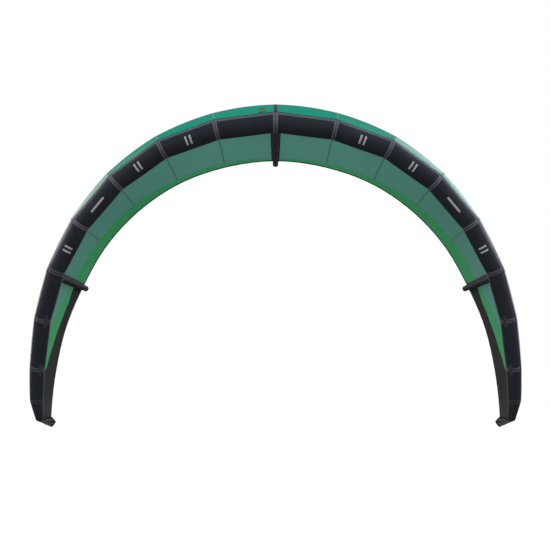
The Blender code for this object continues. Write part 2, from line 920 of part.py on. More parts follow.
def bore_for_hose(name, hose, tube_sleeve, tube_bladder, strut_sleeve, strut_bladder):
    """Holes in both sleeves for the hose, and ports in both bladders at its bore."""
    ends = (
        ("tube", hose.port, hose.port_normal, tube_sleeve, tube_bladder),
        ("strut", hose.entry, hose.entry_normal, strut_sleeve, strut_bladder),
    )
    for end, point, normal, sleeve, bladder in ends:
        inside = point - overrun * normal
        outside = point + overrun * normal
        bore = hose_radius - hose_wall
        hole = round_cutter(f"hole_{end}_{name}", inside, outside, hose_radius + gap, hole_sides)
        port = round_cutter(f"port_{end}_{name}", inside, outside, bore, hose_sides)
        cut(sleeve, hole)
        cut(bladder, port)


def arc(centre_x, centre_y, radius, start_deg, end_deg, steps):
    points = []
    for i in range(steps + 1):
        angle = math.radians(start_deg + (end_deg - start_deg) * i / steps)
        points.append((centre_x + radius * math.cos(angle), centre_y + radius * math.sin(angle)))
    return points


def clip_sizes():
    """Places in a clip's section: the hose is centred on 0, 0 and the hinge is at the right."""
    bar_face = pinch_thickness / 2 + gap
    pivot_x = clip_half_space + clip_pivot_offset
    pivot_y = bar_face + clip_bar / 2
    curl_outer = clip_rod_radius + gap + clip_curl_wall
    return bar_face, pivot_x, pivot_y, curl_outer


def clip_base_outline():
    """Bar under the hose, latch post at the left, curl round the lever's rod at the right."""
    bar_face, pivot_x, pivot_y, curl_outer = clip_sizes()
    curl_inner = clip_rod_radius + gap
    neck_deg = math.degrees(math.asin(clip_neck / 2 / curl_inner))
    low = -bar_face - clip_bar
    left = -clip_half_space - clip_post
    latch_top = bar_face + clip_bar + clip_latch_rise
    upper = 180.0 - clip_open_deg - neck_deg - clip_mouth_margin_deg
    lower = 180.0 + neck_deg + clip_mouth_margin_deg - 360.0
    points = [(left, low), (pivot_x + curl_outer, low)]
    points += arc(pivot_x, pivot_y, curl_outer, 0.0, upper, arc_steps)
    points += arc(pivot_x, pivot_y, curl_inner, upper, lower, 2 * arc_steps)
    end_x = pivot_x + curl_outer * math.cos(math.radians(lower))
    end_y = pivot_y + curl_outer * math.sin(math.radians(lower))
    points += [(end_x, end_y), (end_x, -bar_face), (-clip_half_space, -bar_face)]
    points += [(-clip_half_space, latch_top), (left, latch_top)]
    return points


def clip_lever_outline():
    """Bar over the hose with a thumb rise at its free end and the rod at the hinge."""
    bar_face, pivot_x, pivot_y, curl_outer = clip_sizes()
    free = -clip_half_space + 1.5 * gap
    shoulder = pivot_x - curl_outer - clip_neck_length
    top = bar_face + clip_bar
    rod_deg = math.degrees(math.asin(clip_neck / 2 / clip_rod_radius))
    points = [(free, bar_face), (shoulder, bar_face), (shoulder, pivot_y - clip_neck / 2)]
    turns = (rod_deg - 180.0, 180.0 - rod_deg)
    points += arc(pivot_x, pivot_y, clip_rod_radius, turns[0], turns[1], 2 * arc_steps)
    points += [(shoulder, pivot_y + clip_neck / 2), (shoulder, top)]
    points += [(free + 1.5 * clip_thumb_length, top)]
    points += [(free + clip_thumb_length, top + clip_thumb_rise / 2)]
    points += [(free + clip_thumb_length / 2, top + clip_thumb_rise)]
    points += [(free + clip_thumb_rise / 2, top + clip_thumb_rise)]
    points += [(free, top)]
    return [(x - pivot_x, y - pivot_y) for x, y in points]


def make_clip_meshes(materials):
    meshes = {}
    for kind, outline in (("base", clip_base_outline()), ("lever", clip_lever_outline())):
        bm = bmesh.new()
        add_prism(bm, outline, clip_width)
        bmesh.ops.recalc_face_normals(bm, faces=bm.faces)
        mesh = bpy.data.meshes.new(f"hose_clip_{kind}")
        bm.to_mesh(mesh)
        bm.free()
        mesh.shade_smooth()
        mesh.set_sharp_from_angle(angle=math.radians(smooth_angle_deg))
        mesh.materials.append(materials[f"clip_{kind}"])
        meshes[kind] = mesh
    return meshes


def place_clip(name, hose, meshes):
    """Base and lever on an empty at the hose's pinched waist, the lever's origin on its hinge."""
    centre, _, wide, thin = hose.bite_frame()
    turn = Matrix((wide, thin, wide.cross(thin))).transposed().to_4x4()
    holder = bpy.data.objects.new(f"hose_clip_place_{name}", None)
    bpy.context.collection.objects.link(holder)
    holder.matrix_world = Matrix.Translation(centre) @ turn
    _, pivot_x, pivot_y, _ = clip_sizes()
    base = bpy.data.objects.new(f"hose_clip_base_{name}", meshes["base"])
    lever = bpy.data.objects.new(f"hose_clip_lever_{name}", meshes["lever"])
    for item in (base, lever):
        bpy.context.collection.objects.link(item)
        item.parent = holder
    lever.location = (pivot_x, pivot_y, 0.0)


def turned_rings(place, profile, sides):
    """Rings of a turned shape: profile is radius or a function of the angle, and height."""
    rings = []
    for radius, height in profile:
        ring = []
        for angle in turn_angles(sides):
            r = radius(angle) if callable(radius) else radius
            ring.append(place @ Vector((r * math.cos(angle), r * math.sin(angle), height)))
        rings.append(ring)
    return rings


def valve_place():
    """Valve frame: Z out of the tube, X along it towards the centre."""
    angle = math.radians(valve_facet_angle_deg)
    point, normal, along = facet_point(0, -1, valve_seam_distance, angle, 0.0)
    x_axis = -unit(along - along.dot(normal) * normal)
    y_axis = normal.cross(x_axis)
    turn = Matrix((x_axis, y_axis, normal)).transposed().to_4x4()
    return Matrix.Translation(point) @ turn


def make_valve(place, materials, tube_sleeve, tube_bladder):
    """Collar through the sleeve, quarter-turn insert in the collar and a cap on the insert."""
    foot = -(sleeve_wall + bladder_clearance - gap)
    collar_outer = collar_bore_radius + collar_wall
    lip_outer = collar_outer + collar_lip
    outer = [(collar_outer, foot), (collar_outer, collar_height - collar_lip_height)]
    outer += [(lip_outer, collar_height - collar_lip_height), (lip_outer, collar_height)]
    inner = [(collar_bore_radius, foot), (collar_bore_radius, collar_height)]
    bm = bmesh.new()
    shell = turned_rings(place, outer, valve_sides)
    add_hollow_tube(bm, shell, turned_rings(place, inner, valve_sides))
    origin = place.translation
    to_object("valve_collar", bm, materials["collar"], origin)

    ear_half = math.radians(insert_ear_half_angle_deg)
    rim = collar_outer + insert_rim_overhang - collar_lip

    def eared(angle):
        return rim + (insert_ear_length if abs(angle - math.pi) < ear_half else 0.0)

    rim_low = collar_height + gap
    rim_top = rim_low + insert_rim_height
    barrel = collar_bore_radius - gap
    barrel_low = rim_low - insert_depth
    outer = [(barrel, barrel_low), (barrel, rim_low), (eared, rim_low), (eared, rim_top)]
    inner = [(insert_bore_radius, barrel_low), (insert_bore_radius, rim_top)]
    bm = bmesh.new()
    shell = turned_rings(place, outer, valve_sides)
    add_hollow_tube(bm, shell, turned_rings(place, inner, valve_sides))
    to_object("valve_insert", bm, materials["insert"], origin)

    cap_low = rim_top + gap
    plug = insert_bore_radius - gap
    outer = [(plug - cap_plug_wall, cap_low - cap_plug_depth), (plug, cap_low - cap_plug_depth)]
    outer += [(plug, cap_low), (eared, cap_low), (eared, cap_low + cap_thickness)]
    outer += [(plug - cap_plug_wall, cap_low + cap_thickness)]
    outer += [(plug - cap_plug_wall, cap_low + cap_thickness / 2)]
    bm = bmesh.new()
    add_closed_tube(bm, turned_rings(place, outer, valve_sides))
    hinge = place @ Vector((-rim - insert_ear_length, 0.0, cap_low))
    to_object("valve_cap", bm, materials["cap"], hinge)

    reach = overrun * place.to_3x3().col[2]
    ends = (origin - reach, origin + reach)
    hole = round_cutter("hole_valve", ends[0], ends[1], collar_outer + gap, valve_sides)
    port = round_cutter("port_valve", ends[0], ends[1], collar_bore_radius, valve_sides)
    cut(tube_sleeve, hole)
    cut(tube_bladder, port)


def make_bridle_strap(seam, side, material):
    """Webbing strap across a seam with a raised pad in the middle, on a flat of the tube."""
    angle = math.radians(bridle_angle_deg)
    over_hem = hem_height + gap
    rows = (
        (strap_half_length, 0.0),
        (strap_pad_half_length + strap_pad_rise, over_hem),
        (strap_pad_half_length, over_hem),
    )
    places, lifts = [], []
    for mark, lift in rows:
        distance = stretch_length(seam - 1) - mark
        places.append(facet_point(seam - 1, side, distance, angle, gap))
        lifts.append(lift)
    for mark, lift in reversed(rows):
        places.append(facet_point(seam, side, mark, angle, gap))
        lifts.append(lift)
    seam_point = facet_point(seam, side, 0.0, angle, gap)[0]
    pad_normal = unit(places[2][1] + places[3][1])
    lower = [point + lift * normal for (point, normal, _), lift in zip(places, lifts)]
    upper = [p + strap_thickness * normal for p, (_, normal, _) in zip(lower, places)]
    for row in (2, 3):
        height = over_hem + strap_pad_rise - (lower[row] - seam_point).dot(pad_normal)
        upper[row] = lower[row] + height * pad_normal
    half = strap_width / 2 * mirrored(stations[seam].radial(angle + math.pi / 2), side)
    outline = lower + list(reversed(upper))
    bm = bmesh.new()
    add_closed_tube(bm, [[p - half for p in outline], [p + half for p in outline]])
    name = f"bridle_strap_{side_name(side)}_{seam}"
    return to_object(name, bm, material, seam_point)


def make_pigtail(side, material):
    """Short cord with a stopper knot that hangs from the lower edge of the corner flap."""
    top = len(sections) - 1
    root = canopy_point(top, pigtail_chord_share)
    normal = canopy_normal(top, pigtail_chord_share)
    root = root + cloth_thickness / 2 * normal
    lean = math.radians(pigtail_lean_deg)
    down = Vector((math.sin(lean), 0.0, -math.cos(lean)))
    root = root + (pigtail_radius / 4 + gap) * Vector((0.0, 0.0, -1.0))
    curve = bpy.data.curves.new(f"rear_pigtail_{side_name(side)}", "CURVE")
    curve.dimensions = "3D"
    curve.bevel_depth = pigtail_radius
    curve.bevel_resolution = 2
    curve.use_fill_caps = True
    spline = curve.splines.new("POLY")
    spline.points.add(pigtail_points - 1)
    for i, point in enumerate(spline.points):
        share = i / (pigtail_points - 1)
        bend = Vector((0.0, 0.0, -1.0)).lerp(down, smooth_step(2.0 * share))
        place = mirrored(share * pigtail_length * unit(bend), side)
        point.co = (place.x, place.y, place.z, 1.0)
        knot = math.exp(-(((share - knot_place_share) / knot_spread_share) ** 2))
        point.radius = 1.0 + (pigtail_knot_scale - 1.0) * knot
    curve.materials.append(material)
    item = bpy.data.objects.new(f"rear_pigtail_{side_name(side)}", curve)
    bpy.context.collection.objects.link(item)
    item.location = mirrored(root, side)
    return item


def make_materials():
    return {
        "sleeve": make_material("black_dacron", (40, 41, 45), 0.55),
        "tip_sleeve": make_material("charcoal_dacron", (35, 34, 39), 0.6),
        "strut": make_material("strut_dacron", (40, 44, 45), 0.55),
        "canopy": make_material("green_ripstop", (24, 132, 108), 0.45),
        "tip_cloth": make_material("dark_ripstop", (49, 51, 50), 0.6),
        "bladder": make_material("clear_urethane", (196, 202, 196), 0.3),
        "end_cap": make_material("black_webbing", (26, 27, 29), 0.7),
        "hose": make_material("grey_hose", (70, 74, 78), 0.4),
        "plastic": make_material("black_plastic", (24, 25, 27), 0.35),
        "lever": make_material("grey_plastic", (92, 96, 100), 0.35),
        "strap": make_material("strap_webbing", (58, 60, 63), 0.8),
        "cord": make_material("white_cord", (196, 197, 194), 0.7),
    }


def build():
    clear_scene()
    materials = make_materials()
    sleeves = {}
    for side in (-1, 1):
        for index in range(tip - 1):
            sleeves[side, index] = make_sleeve_panel(index, side, materials["sleeve"])
        make_sleeve_tip(side, materials["tip_sleeve"])
        for index in range(side_strut_seam):
            make_canopy_gore(index, side, materials["canopy"])
        make_tip_wedge(side, materials["canopy"])
        make_tip_panel(side, materials["tip_cloth"])
        for seam in bridle_seams:
            make_bridle_strap(seam, side, materials["strap"])
        make_pigtail(side, materials["cord"])
    tube_bladder = make_tube_bladder(materials["bladder"])

    strut_materials = {
        "sleeve": materials["strut"],
        "bladder": materials["bladder"],
        "cap": materials["end_cap"],
    }
    clip_materials = {"clip_base": materials["plastic"], "clip_lever": materials["lever"]}
    clip_meshes = make_clip_meshes(clip_materials)
    for name, path in strut_paths().items():
        cope = tube_cope_cutter(f"cope_{name}", path)
        strut_sleeve, strut_bladder = make_strut(name, path, cope, strut_materials)
        hose = HosePath(path)
        make_hose(name, hose, materials["hose"])
        tube_sleeve = sleeves[path.side, path.seam]
        bore_for_hose(name, hose, tube_sleeve, tube_bladder, strut_sleeve, strut_bladder)
        place_clip(name, hose, clip_meshes)

    valve_materials = {
        "collar": materials["plastic"],
        "insert": materials["lever"],
        "cap": materials["plastic"],
    }
    make_valve(valve_place(), valve_materials, sleeves[-1, 0], tube_bladder)
    bpy.context.view_layer.update()


build()
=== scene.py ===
import math

import bmesh
import bpy
import numpy as np
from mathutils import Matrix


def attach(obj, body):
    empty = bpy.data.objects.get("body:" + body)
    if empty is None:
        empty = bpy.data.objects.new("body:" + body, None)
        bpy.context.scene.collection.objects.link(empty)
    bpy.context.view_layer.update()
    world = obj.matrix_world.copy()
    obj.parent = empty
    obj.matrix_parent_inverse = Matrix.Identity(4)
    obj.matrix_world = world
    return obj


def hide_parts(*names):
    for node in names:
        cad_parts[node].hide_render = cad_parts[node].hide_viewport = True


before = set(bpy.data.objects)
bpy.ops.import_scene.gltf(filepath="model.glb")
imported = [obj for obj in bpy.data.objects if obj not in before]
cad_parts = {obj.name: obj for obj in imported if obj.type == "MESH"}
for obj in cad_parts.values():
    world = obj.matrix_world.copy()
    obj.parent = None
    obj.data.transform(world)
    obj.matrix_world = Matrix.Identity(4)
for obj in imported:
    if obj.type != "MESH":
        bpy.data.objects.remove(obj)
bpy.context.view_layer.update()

sceneBox = bpy.context.scene

# Camera: stands in front of the kite, a little low, and looks up at it
view = dict(place=(-0.0045, -8.3, -1.9585), tiltDegrees=95.49, lens=72.85, sensor=36.0, clip=(0.1, 200.0))

cameraData = bpy.data.cameras.new("photoCamera")
cameraData.lens = view["lens"]
cameraData.sensor_width = view["sensor"]
cameraData.clip_start, cameraData.clip_end = view["clip"]
camera = bpy.data.objects.new("photoCamera", cameraData)
camera.location = view["place"]
camera.rotation_euler = (math.radians(view["tiltDegrees"]), 0.0, 0.0)
sceneBox.collection.objects.link(camera)
sceneBox.camera = camera
sceneBox.view_settings.view_transform = "Standard"
print("camera placed")


# Small helpers for arrays of points
def unit(a):
    return a / np.linalg.norm(a, axis=-1, keepdims=True)


def smoothStep(x):
    x = np.clip(x, 0.0, 1.0)
    return x * x * (3.0 - 2.0 * x)


def fullTurn(count):
    return np.linspace(0.0, 2 * np.pi, count, endpoint=False)


# Points with x turned over where side is -1.
def sided(points, side):
    return points * (np.asarray(side, float)[..., None] * (1.0, 0.0, 0.0) + (0.0, 1.0, 1.0))


def sideName(side):
    return "right" if side > 0 else "left"


# Two arrays of one shape from a value for each row and one for each column.
def gridOf(along, across):
    return np.broadcast_arrays(np.asarray(along)[:, None], np.asarray(across)[None, :])


# Closed shell between two grids of points (rows x columns): the outer skin, the inner skin and
# the rims that join their open edges. It is turned so that its volume is positive. lining is the
# material slot of the inner skin and the rims.
def shellMesh(name, over, under, uv, wrapRows=False, wrapCols=False, poles=False, lining=0):
    rows, cols = over.shape[:2]
    rowCells, colCells = rows - 1 + wrapRows, cols - 1 + wrapCols
    r, c = (item.ravel() for item in gridOf(np.arange(rowCells), np.arange(colCells)))
    cornersR, cornersC = np.stack([r, r + 1, r + 1, r], axis=1), np.stack([c, c, c + 1, c + 1], axis=1)
    skin = (cornersR % rows) * cols + cornersC % cols
    quads = [skin, skin[:, ::-1] + rows * cols]
    quadR, quadC = [cornersR, cornersR[:, ::-1]], [cornersC, cornersC[:, ::-1]]

    def rim(lineR, lineC, turn):
        a = (lineR % rows) * cols + lineC % cols
        quads.append(np.stack([a[:-1], a[1:], a[1:] + rows * cols, a[:-1] + rows * cols], axis=1)[:, ::turn])
        for corners, line in ((quadR, lineR), (quadC, lineC)):
            corners.append(np.stack([line[:-1], line[1:], line[1:], line[:-1]], axis=1)[:, ::turn])

    if not wrapRows:
        lineC = np.arange(colCells + 1)
        rim(np.zeros_like(lineC), lineC, 1)
        rim(np.full_like(lineC, rows - 1), lineC, -1)
    if not wrapCols:
        lineR = np.arange(rowCells + 1)
        rim(lineR, np.zeros_like(lineR), -1)
        rim(lineR, np.full_like(lineR, cols - 1), 1)
    points = np.concatenate([over.reshape(-1, 3), under.reshape(-1, 3)])
    faces, faceR, faceC = np.concatenate(quads), np.concatenate(quadR), np.concatenate(quadC)
    a, b, d, e = (points[faces[:, k]] for k in range(4))
    if (np.cross(a, b) * d).sum() + (np.cross(a, d) * e).sum() < 0:
        faces, faceR, faceC = faces[:, ::-1], faceR[:, ::-1], faceC[:, ::-1]
    mesh = bpy.data.meshes.new(name)
    mesh.vertices.add(len(points))
    mesh.vertices.foreach_set("co", points.astype(np.float32).ravel())
    mesh.loops.add(faces.size)
    mesh.loops.foreach_set("vertex_index", faces.astype(np.int32).ravel())
    mesh.polygons.add(len(faces))
    mesh.polygons.foreach_set("loop_start", np.arange(0, faces.size, 4, dtype=np.int32))
    slots = np.where(np.arange(len(faces)) < len(skin), 0, lining)
    mesh.polygons.foreach_set("material_index", slots.astype(np.int32))
    flat = np.stack([uv[0][faceR, faceC], uv[1][faceR, faceC]], axis=-1)
    mesh.uv_layers.new(name="UVMap").data.foreach_set("uv", flat.astype(np.float32).ravel())
    mesh.update(calc_edges=True)
    if poles:
        bm = bmesh.new()
        bm.from_mesh(mesh)
        bmesh.ops.remove_doubles(bm, verts=bm.verts, dist=1e-6)
        bmesh.ops.dissolve_degenerate(bm, edges=bm.edges, dist=1e-6)
        bmesh.ops.delete(bm, geom=[edge for edge in bm.edges if not edge.link_faces], context="EDGES")
        bm.to_mesh(mesh)
        bm.free()
    mesh.validate()
    mesh.shade_smooth()
    mesh.set_sharp_from_angle(angle=math.radians(40.0))
    return mesh


# A shell on one side, as an object that rides on the kite and stands for a CAD node. Its slot is not used.
def makeShell(name, side, over, under, uv, materials, slot, node=None, padded=False, **meshOptions):
    mesh = shellMesh(name, sided(over, side), sided(under, side), uv, **meshOptions)
    piece = bpy.data.objects.new(name, mesh)
    sceneBox.collection.objects.link(piece)
    for material in materials:
        mesh.materials.append(material)
    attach(piece, "kite")
    if node:
        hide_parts(node)
    return piece


# The leading edge tube: straight sewn stretches between seams, numbered from the centre
tube = dict(
    stretch=0.442,
    stretchShares=(1.02, 1.0, 1.0, 0.98, 0.945, 0.91, 0.915, 0.625, 0.365),
    archDegrees=(6.6, 18.1, 33.7, 47.8, 60.4, 72.3, 80.7, 85.0, 95.0),
    sweepDegrees=(3.0, 7.5, 10.7, 11.8, 12.6, 15.5, 18.5, 21.0, 24.0),
    radius=0.0745,
    radiusShares=(1.0, 1.0, 1.0, 0.973, 0.926, 0.886, 0.85, 0.775, 0.68, 0.42),
    wall=0.0012,
    barrel=0.001,
    puckerDepth=0.0009,
    puckerReach=0.03,
    puckers=27,
    tapeHalf=0.015,
    centreTapeHalf=0.018,
    rows=30,
    columns=80,
    lastShare=0.99999,      # of a stretch, just short of the next seam
    stripSteps=23,          # of a long strip, on each stretch
)
stretchLengths = tube["stretch"] * np.array(tube["stretchShares"])
arch = np.radians(tube["archDegrees"])
sweep = np.radians(tube["sweepDegrees"])
headings = np.stack([np.cos(sweep) * np.cos(arch), np.sin(sweep), -np.cos(sweep) * np.sin(arch)], axis=1)
axisPoints = np.concatenate([np.zeros((1, 3)), np.cumsum(stretchLengths[:, None] * headings, axis=0)])
tubeRadii = tube["radius"] * np.array(tube["radiusShares"])
tubeAlong = unit(np.concatenate([[[1.0, 0.0, 0.0]], headings[:-1] + headings[1:], headings[-1:]]))
forwardAxis = np.array([0.0, -1.0, 0.0])
tubeForward = unit(forwardAxis - (tubeAlong @ forwardAxis)[:, None] * tubeAlong)
tubeOutward = unit(np.cross(tubeForward, tubeAlong))
lastStation = len(axisPoints) - 1


def radiusAt(w):
    return np.interp(w, np.arange(lastStation + 1.0), tubeRadii)


# Point of the tube at station w: the rims of the two nearest seams mixed in a straight line.
# A rim is axis + (radius + growth) * (cos(angle) * forward + sin(angle) * outward).
def tubePoint(w, angle, growth=0.0):
    w, angle, growth = np.broadcast_arrays(w, angle, growth)
    index = np.clip(np.floor(w).astype(int), 0, lastStation - 1)
    share = (w - index)[..., None]

    def rim(k):
        turned = np.cos(angle)[..., None] * tubeForward[k] + np.sin(angle)[..., None] * tubeOutward[k]
        return axisPoints[k] + (tubeRadii[k] + growth)[..., None] * turned

    return (1.0 - share) * rim(index) + share * rim(index + 1)


# How far the cloth stands off the plain tube: a slight barrel between seams, less the small
# puckers that fade away from each seam.
def tubeSkin(w, angle):
    index = np.clip(np.floor(w).astype(int), 0, lastStation - 1)
    share = w - index
    length = stretchLengths[index]

    def puckers(k, gap):
        wave = 0.5 + 0.5 * np.sin(tube["puckers"] * angle + 2.1 * k + 0.9 * np.sin(3.0 * angle + k))
        return wave * np.exp(-np.maximum(gap - tube["tapeHalf"], 0.0) / tube["puckerReach"])

    fade = puckers(index, share * length) + puckers(index + 1, (1.0 - share) * length)
    return tube["barrel"] * 4.0 * share * (1.0 - share) - tube["puckerDepth"] * fade


# Station that lies this many metres past a seam, before it where offset is negative. At the
# centre seam it is the distance to either side.
def besideSeam(seam, offset):
    if seam == 0:
        return np.abs(offset) / stretchLengths[0]
    before, after = stretchLengths[seam - 1], stretchLengths[min(seam, lastStation - 1)]
    return seam + np.where(offset < 0, offset / before, offset / after)


# Stations from one seam to another, evenly within each stretch, then the ones given.
def stationRow(first, last, end):
    steps = np.arange(tube["stripSteps"]) / tube["stripSteps"]
    return np.concatenate([(np.arange(first, last)[:, None] + steps).ravel(), np.atleast_1d(end)])


# The canopy: cubic curves from the tube to the trailing edge, one at each seam, and two straight
# ones below them for the corner flap
canopy = dict(
    chord=1.48,
    chordShares=(1.0, 1.003, 1.012, 0.976, 0.915, 0.861, 0.679, 0.52, 0.426, 0.308),
    frontHandles=(0.275, 0.256, 0.2, 0.173, 0.147, 0.108, 0.12, 0.136, 0.135, 0.125),
    rearHandle=0.42,
    riseDegrees=(46, 46, 44, 42, 39, 36, 34, 32, 28, 26),
    rearDegrees=(12, 12, 11.5, 11, 10.5, 10, 9, 8, 6, 2),
    seamDegrees=62.0,
    lap=0.0015,
    swell=0.002,
    bulgeStart=0.3,
    thickness=0.0008,
    frontRipple=0.0008,
    frontRippleWave=0.031,
    frontRippleReach=0.07,
    rearRipple=0.0004,
    rearRippleWave=0.09,
    rearRippleReach=0.10,
    tipStations=(5.5, 6.0, 6.5, 7.0, 7.4, 7.65, 7.8, 7.9, 8.0),
    tipShares=(0.89, 0.87, 0.825, 0.745, 0.6, 0.4, 0.19, 0.05, 0.0),
    strutShare=0.862,
    bandStations=(0, 1, 2, 3, 4, 5, 5.5, 6, 6.15, 9),
    bandShares=(0.973, 0.953, 0.945, 0.9, 0.868, 0.84, 0.787, 0.73, 0.7, 0.7),
    flapReach=0.655,
    flapDrop=0.097,
    flapSpans=(0.05, 0.1),
    flapRearReach=(1.0, 0.855),
    flapRearDrop=(0.54, 1.0),
    flapFrontDrop=(0.03, 0.06),
    flapLean=(0.0, 0.02),
    cornerCut=0.013,        # share of the chord that rounds the flap's upper corner
    cornerReach=0.16,
    bottomCut=0.06,         # the same for its lower corner
    bottomRound=0.45,
)
backAxis = np.array([0.0, 1.0, 0.0])
flatOutward = unit(tubeOutward * np.array([1.0, 0.0, 1.0]))
flatDown = unit(tubeAlong[-1] * np.array([1.0, 0.0, 1.0]))


# Four control points for each section. The front handle leaves at the rise angle, the rear one
# arrives at the rear angle.
def makeSections():
    chords = (canopy["chord"] * np.array(canopy["chordShares"]))[:, None]
    rise = np.radians(canopy["riseDegrees"])[:, None]
    rear = np.radians(canopy["rearDegrees"])[:, None]
    start = tubePoint(np.arange(lastStation + 1.0), math.radians(canopy["seamDegrees"]), canopy["lap"])
    end = axisPoints + chords * backAxis
    leave = np.cos(rise) * backAxis + np.sin(rise) * flatOutward
    arrive = np.cos(rear) * backAxis - np.sin(rear) * flatOutward
    handles = np.array(canopy["frontHandles"])[:, None]
    rows = [start, start + handles * chords * leave, end - canopy["rearHandle"] * chords * arrive, end]
    flaps = []
    for k in range(2):
        front = start[-1] + canopy["flapDrop"] * canopy["flapFrontDrop"][k] * flatDown
        corner = axisPoints[-1] + canopy["flapReach"] * canopy["flapRearReach"][k] * backAxis
        corner = corner + canopy["flapDrop"] * canopy["flapRearDrop"][k] * flatDown
        corner = corner + np.array([canopy["flapLean"][k], 0.0, 0.0])
        flaps.append([front, front + (corner - front) / 3, front + (corner - front) * 2 / 3, corner])
    return np.concatenate([np.stack(rows, axis=1), np.array(flaps)])


sections = makeSections()
lastSection = len(sections) - 1
stationIndex = np.minimum(np.arange(lastSection + 1), lastStation)
bulgeAxes = unit(tubeOutward[stationIndex[:-1]] + tubeOutward[stationIndex[1:]])
sectionChords = np.linalg.norm(sections[:, 3] - sections[:, 0], axis=1)
sectionSpans = np.concatenate([[0.0], np.cumsum(stretchLengths)])
sectionSpans = np.append(sectionSpans, sectionSpans[-1] + np.array(canopy["flapSpans"]))


# Slope of the sections at each station for a smooth curve along the span, mirrored at the centre
def makeSlopes():
    steps = np.append(stretchLengths, [1.0, 1.0])[:, None, None]
    rates = np.diff(sections, axis=0) / steps
    inner = (rates[:-1] * steps[1:] + rates[1:] * steps[:-1]) / (steps[:-1] + steps[1:])
    first = rates[:1] * np.array([1.0, 0.0, 0.0])
    slopes = np.concatenate([first, inner, rates[-1:]])
    slopes[lastStation] = rates[lastStation - 1]
    return slopes, steps


sectionSlopes, sectionSteps = makeSlopes()


def chordAt(u):
    return np.interp(u, np.arange(lastSection + 1.0), sectionChords)


def spanOf(u):
    return np.interp(u, np.arange(lastSection + 1.0), sectionSpans)


# Under side of the canopy: the cubic sections, mixed in a straight line along the span at the
# tube and by a cubic curve behind it, plus a slight swell of 4 s (1 - s) between seams.
def clothBase(u, v):
    u, v = np.broadcast_arrays(np.asarray(u, float), np.asarray(v, float))
    index = np.clip(np.floor(u).astype(int), 0, lastSection - 1)
    share = u - index
    s = share[..., None, None]
    here, there = sections[index], sections[index + 1]
    straight = (1.0 - s) * here + s * there
    slopes = (s**3 - 2 * s**2 + s) * sectionSlopes[index] + (s**3 - s**2) * sectionSlopes[index + 1]
    curved = (2 * s**3 - 3 * s**2 + 1) * here + (3 * s**2 - 2 * s**3) * there + sectionSteps[index] * slopes
    behind = np.where(u < lastStation, smoothStep(v / canopy["bulgeStart"]), 0.0)
    controls = straight + behind[..., None, None] * (curved - straight)
    w = 1.0 - v
    weights = np.stack([w**3, 3 * w * w * v, 3 * w * v * v, v**3], axis=-1)
    swell = canopy["swell"] * 4.0 * share * (1.0 - share) * behind * w
    return (controls * weights[..., None]).sum(axis=-2) + swell[..., None] * bulgeAxes[index]


# Outward normal from central differences, so that a seam takes the mean of its two sides.
def clothNormal(u, v):
    u, v = np.broadcast_arrays(np.asarray(u, float), np.asarray(v, float))
    step = 0.002
    across = clothBase(np.clip(u + step, 0, lastSection), v) - clothBase(np.clip(u - step, 0, lastSection), v)
    across = np.where((u < step)[..., None], np.array([1.0, 0.0, 0.0]), across)
    back = clothBase(u, np.minimum(v + step, 1.0)) - clothBase(u, np.maximum(v - step, 0.0))
    return unit(np.cross(across, back))


# Small waves along the span, strongest at the tube and at the trailing edge.
def clothRipple(u, v):
    span, chord, share = spanOf(u), chordAt(u), u - np.floor(u)
    front = canopy["frontRipple"] * np.exp(-v * chord / canopy["frontRippleReach"])
    rear = canopy["rearRipple"] * np.exp(-(1.0 - v) * chord / canopy["rearRippleReach"])
    waves = front * np.sin(2 * np.pi * span / canopy["frontRippleWave"] + 1.3 * np.sin(9 * span))
    waves = waves + rear * np.sin(2 * np.pi * span / canopy["rearRippleWave"])
    return waves * np.where(u < lastStation, 4.0 * share * (1.0 - share), 0.0)


# Point of the canopy this far above its under side, ripples included.
def cloth(u, v, rise=0.0):
    return clothBase(u, v) + (clothRipple(u, v) + rise)[..., None] * clothNormal(u, v)


# Materials: shared effects are node groups, each placed in a material with its own values
def linear(rgb):
    c = np.array(rgb) / 255.0
    return tuple(np.where(c <= 0.04045, c / 12.92, ((c + 0.055) / 1.055) ** 2.4)) + (1.0,)


# Adds nodes to a tree and links them: a socket given as a value is linked, a number is set.
class Sketch:
    def __init__(self, tree):
        self.tree = tree

    def fill(self, node, inputs):
        for key, value in inputs.items():
            if isinstance(value, bpy.types.NodeSocket):
                self.tree.links.new(value, node.inputs[key])
            else:
                node.inputs[key].default_value = value
        return node

    def add(self, kind, inputs, out=0, **settings):
        node = self.tree.nodes.new(kind)
        for key, value in settings.items():
            setattr(node, key, value)
        return self.fill(node, inputs).outputs[out]

    def math(self, operation, *values):
        return self.add("ShaderNodeMath", dict(enumerate(values)), operation=operation)

    # 0 below low, 1 above high, smooth between.
    def step(self, value, low, high):
        inputs = {"Value": value, "From Min": low, "From Max": high, "To Min": 0.0, "To Max": 1.0}
        return self.add("ShaderNodeMapRange", inputs, interpolation_type="SMOOTHSTEP")

    def mix(self, share, first, second):
        return self.add("ShaderNodeMix", {0: share, 6: first, 7: second}, out=2, data_type="RGBA")

    # Colour times a value.
    def scaled(self, colour, factor):
        grey = self.add("ShaderNodeCombineColor", {"Red": factor, "Green": factor, "Blue": factor})
        inputs = {0: 1.0, 6: colour, 7: grey}
        return self.add("ShaderNodeMix", inputs, out=2, data_type="RGBA", blend_type="MULTIPLY")

    def noise(self, vector, scale, detail=3.0, roughness=0.55):
        inputs = {"Vector": vector, "Scale": scale, "Detail": detail, "Roughness": roughness}
        return self.add("ShaderNodeTexNoise", inputs)

    # A placed group, with the outputs asked for.
    def group(self, tree, out, **inputs):
        node = self.tree.nodes.new("ShaderNodeGroup")
        node.node_tree = tree
        self.fill(node, inputs)
        return [node.outputs[name] for name in out]


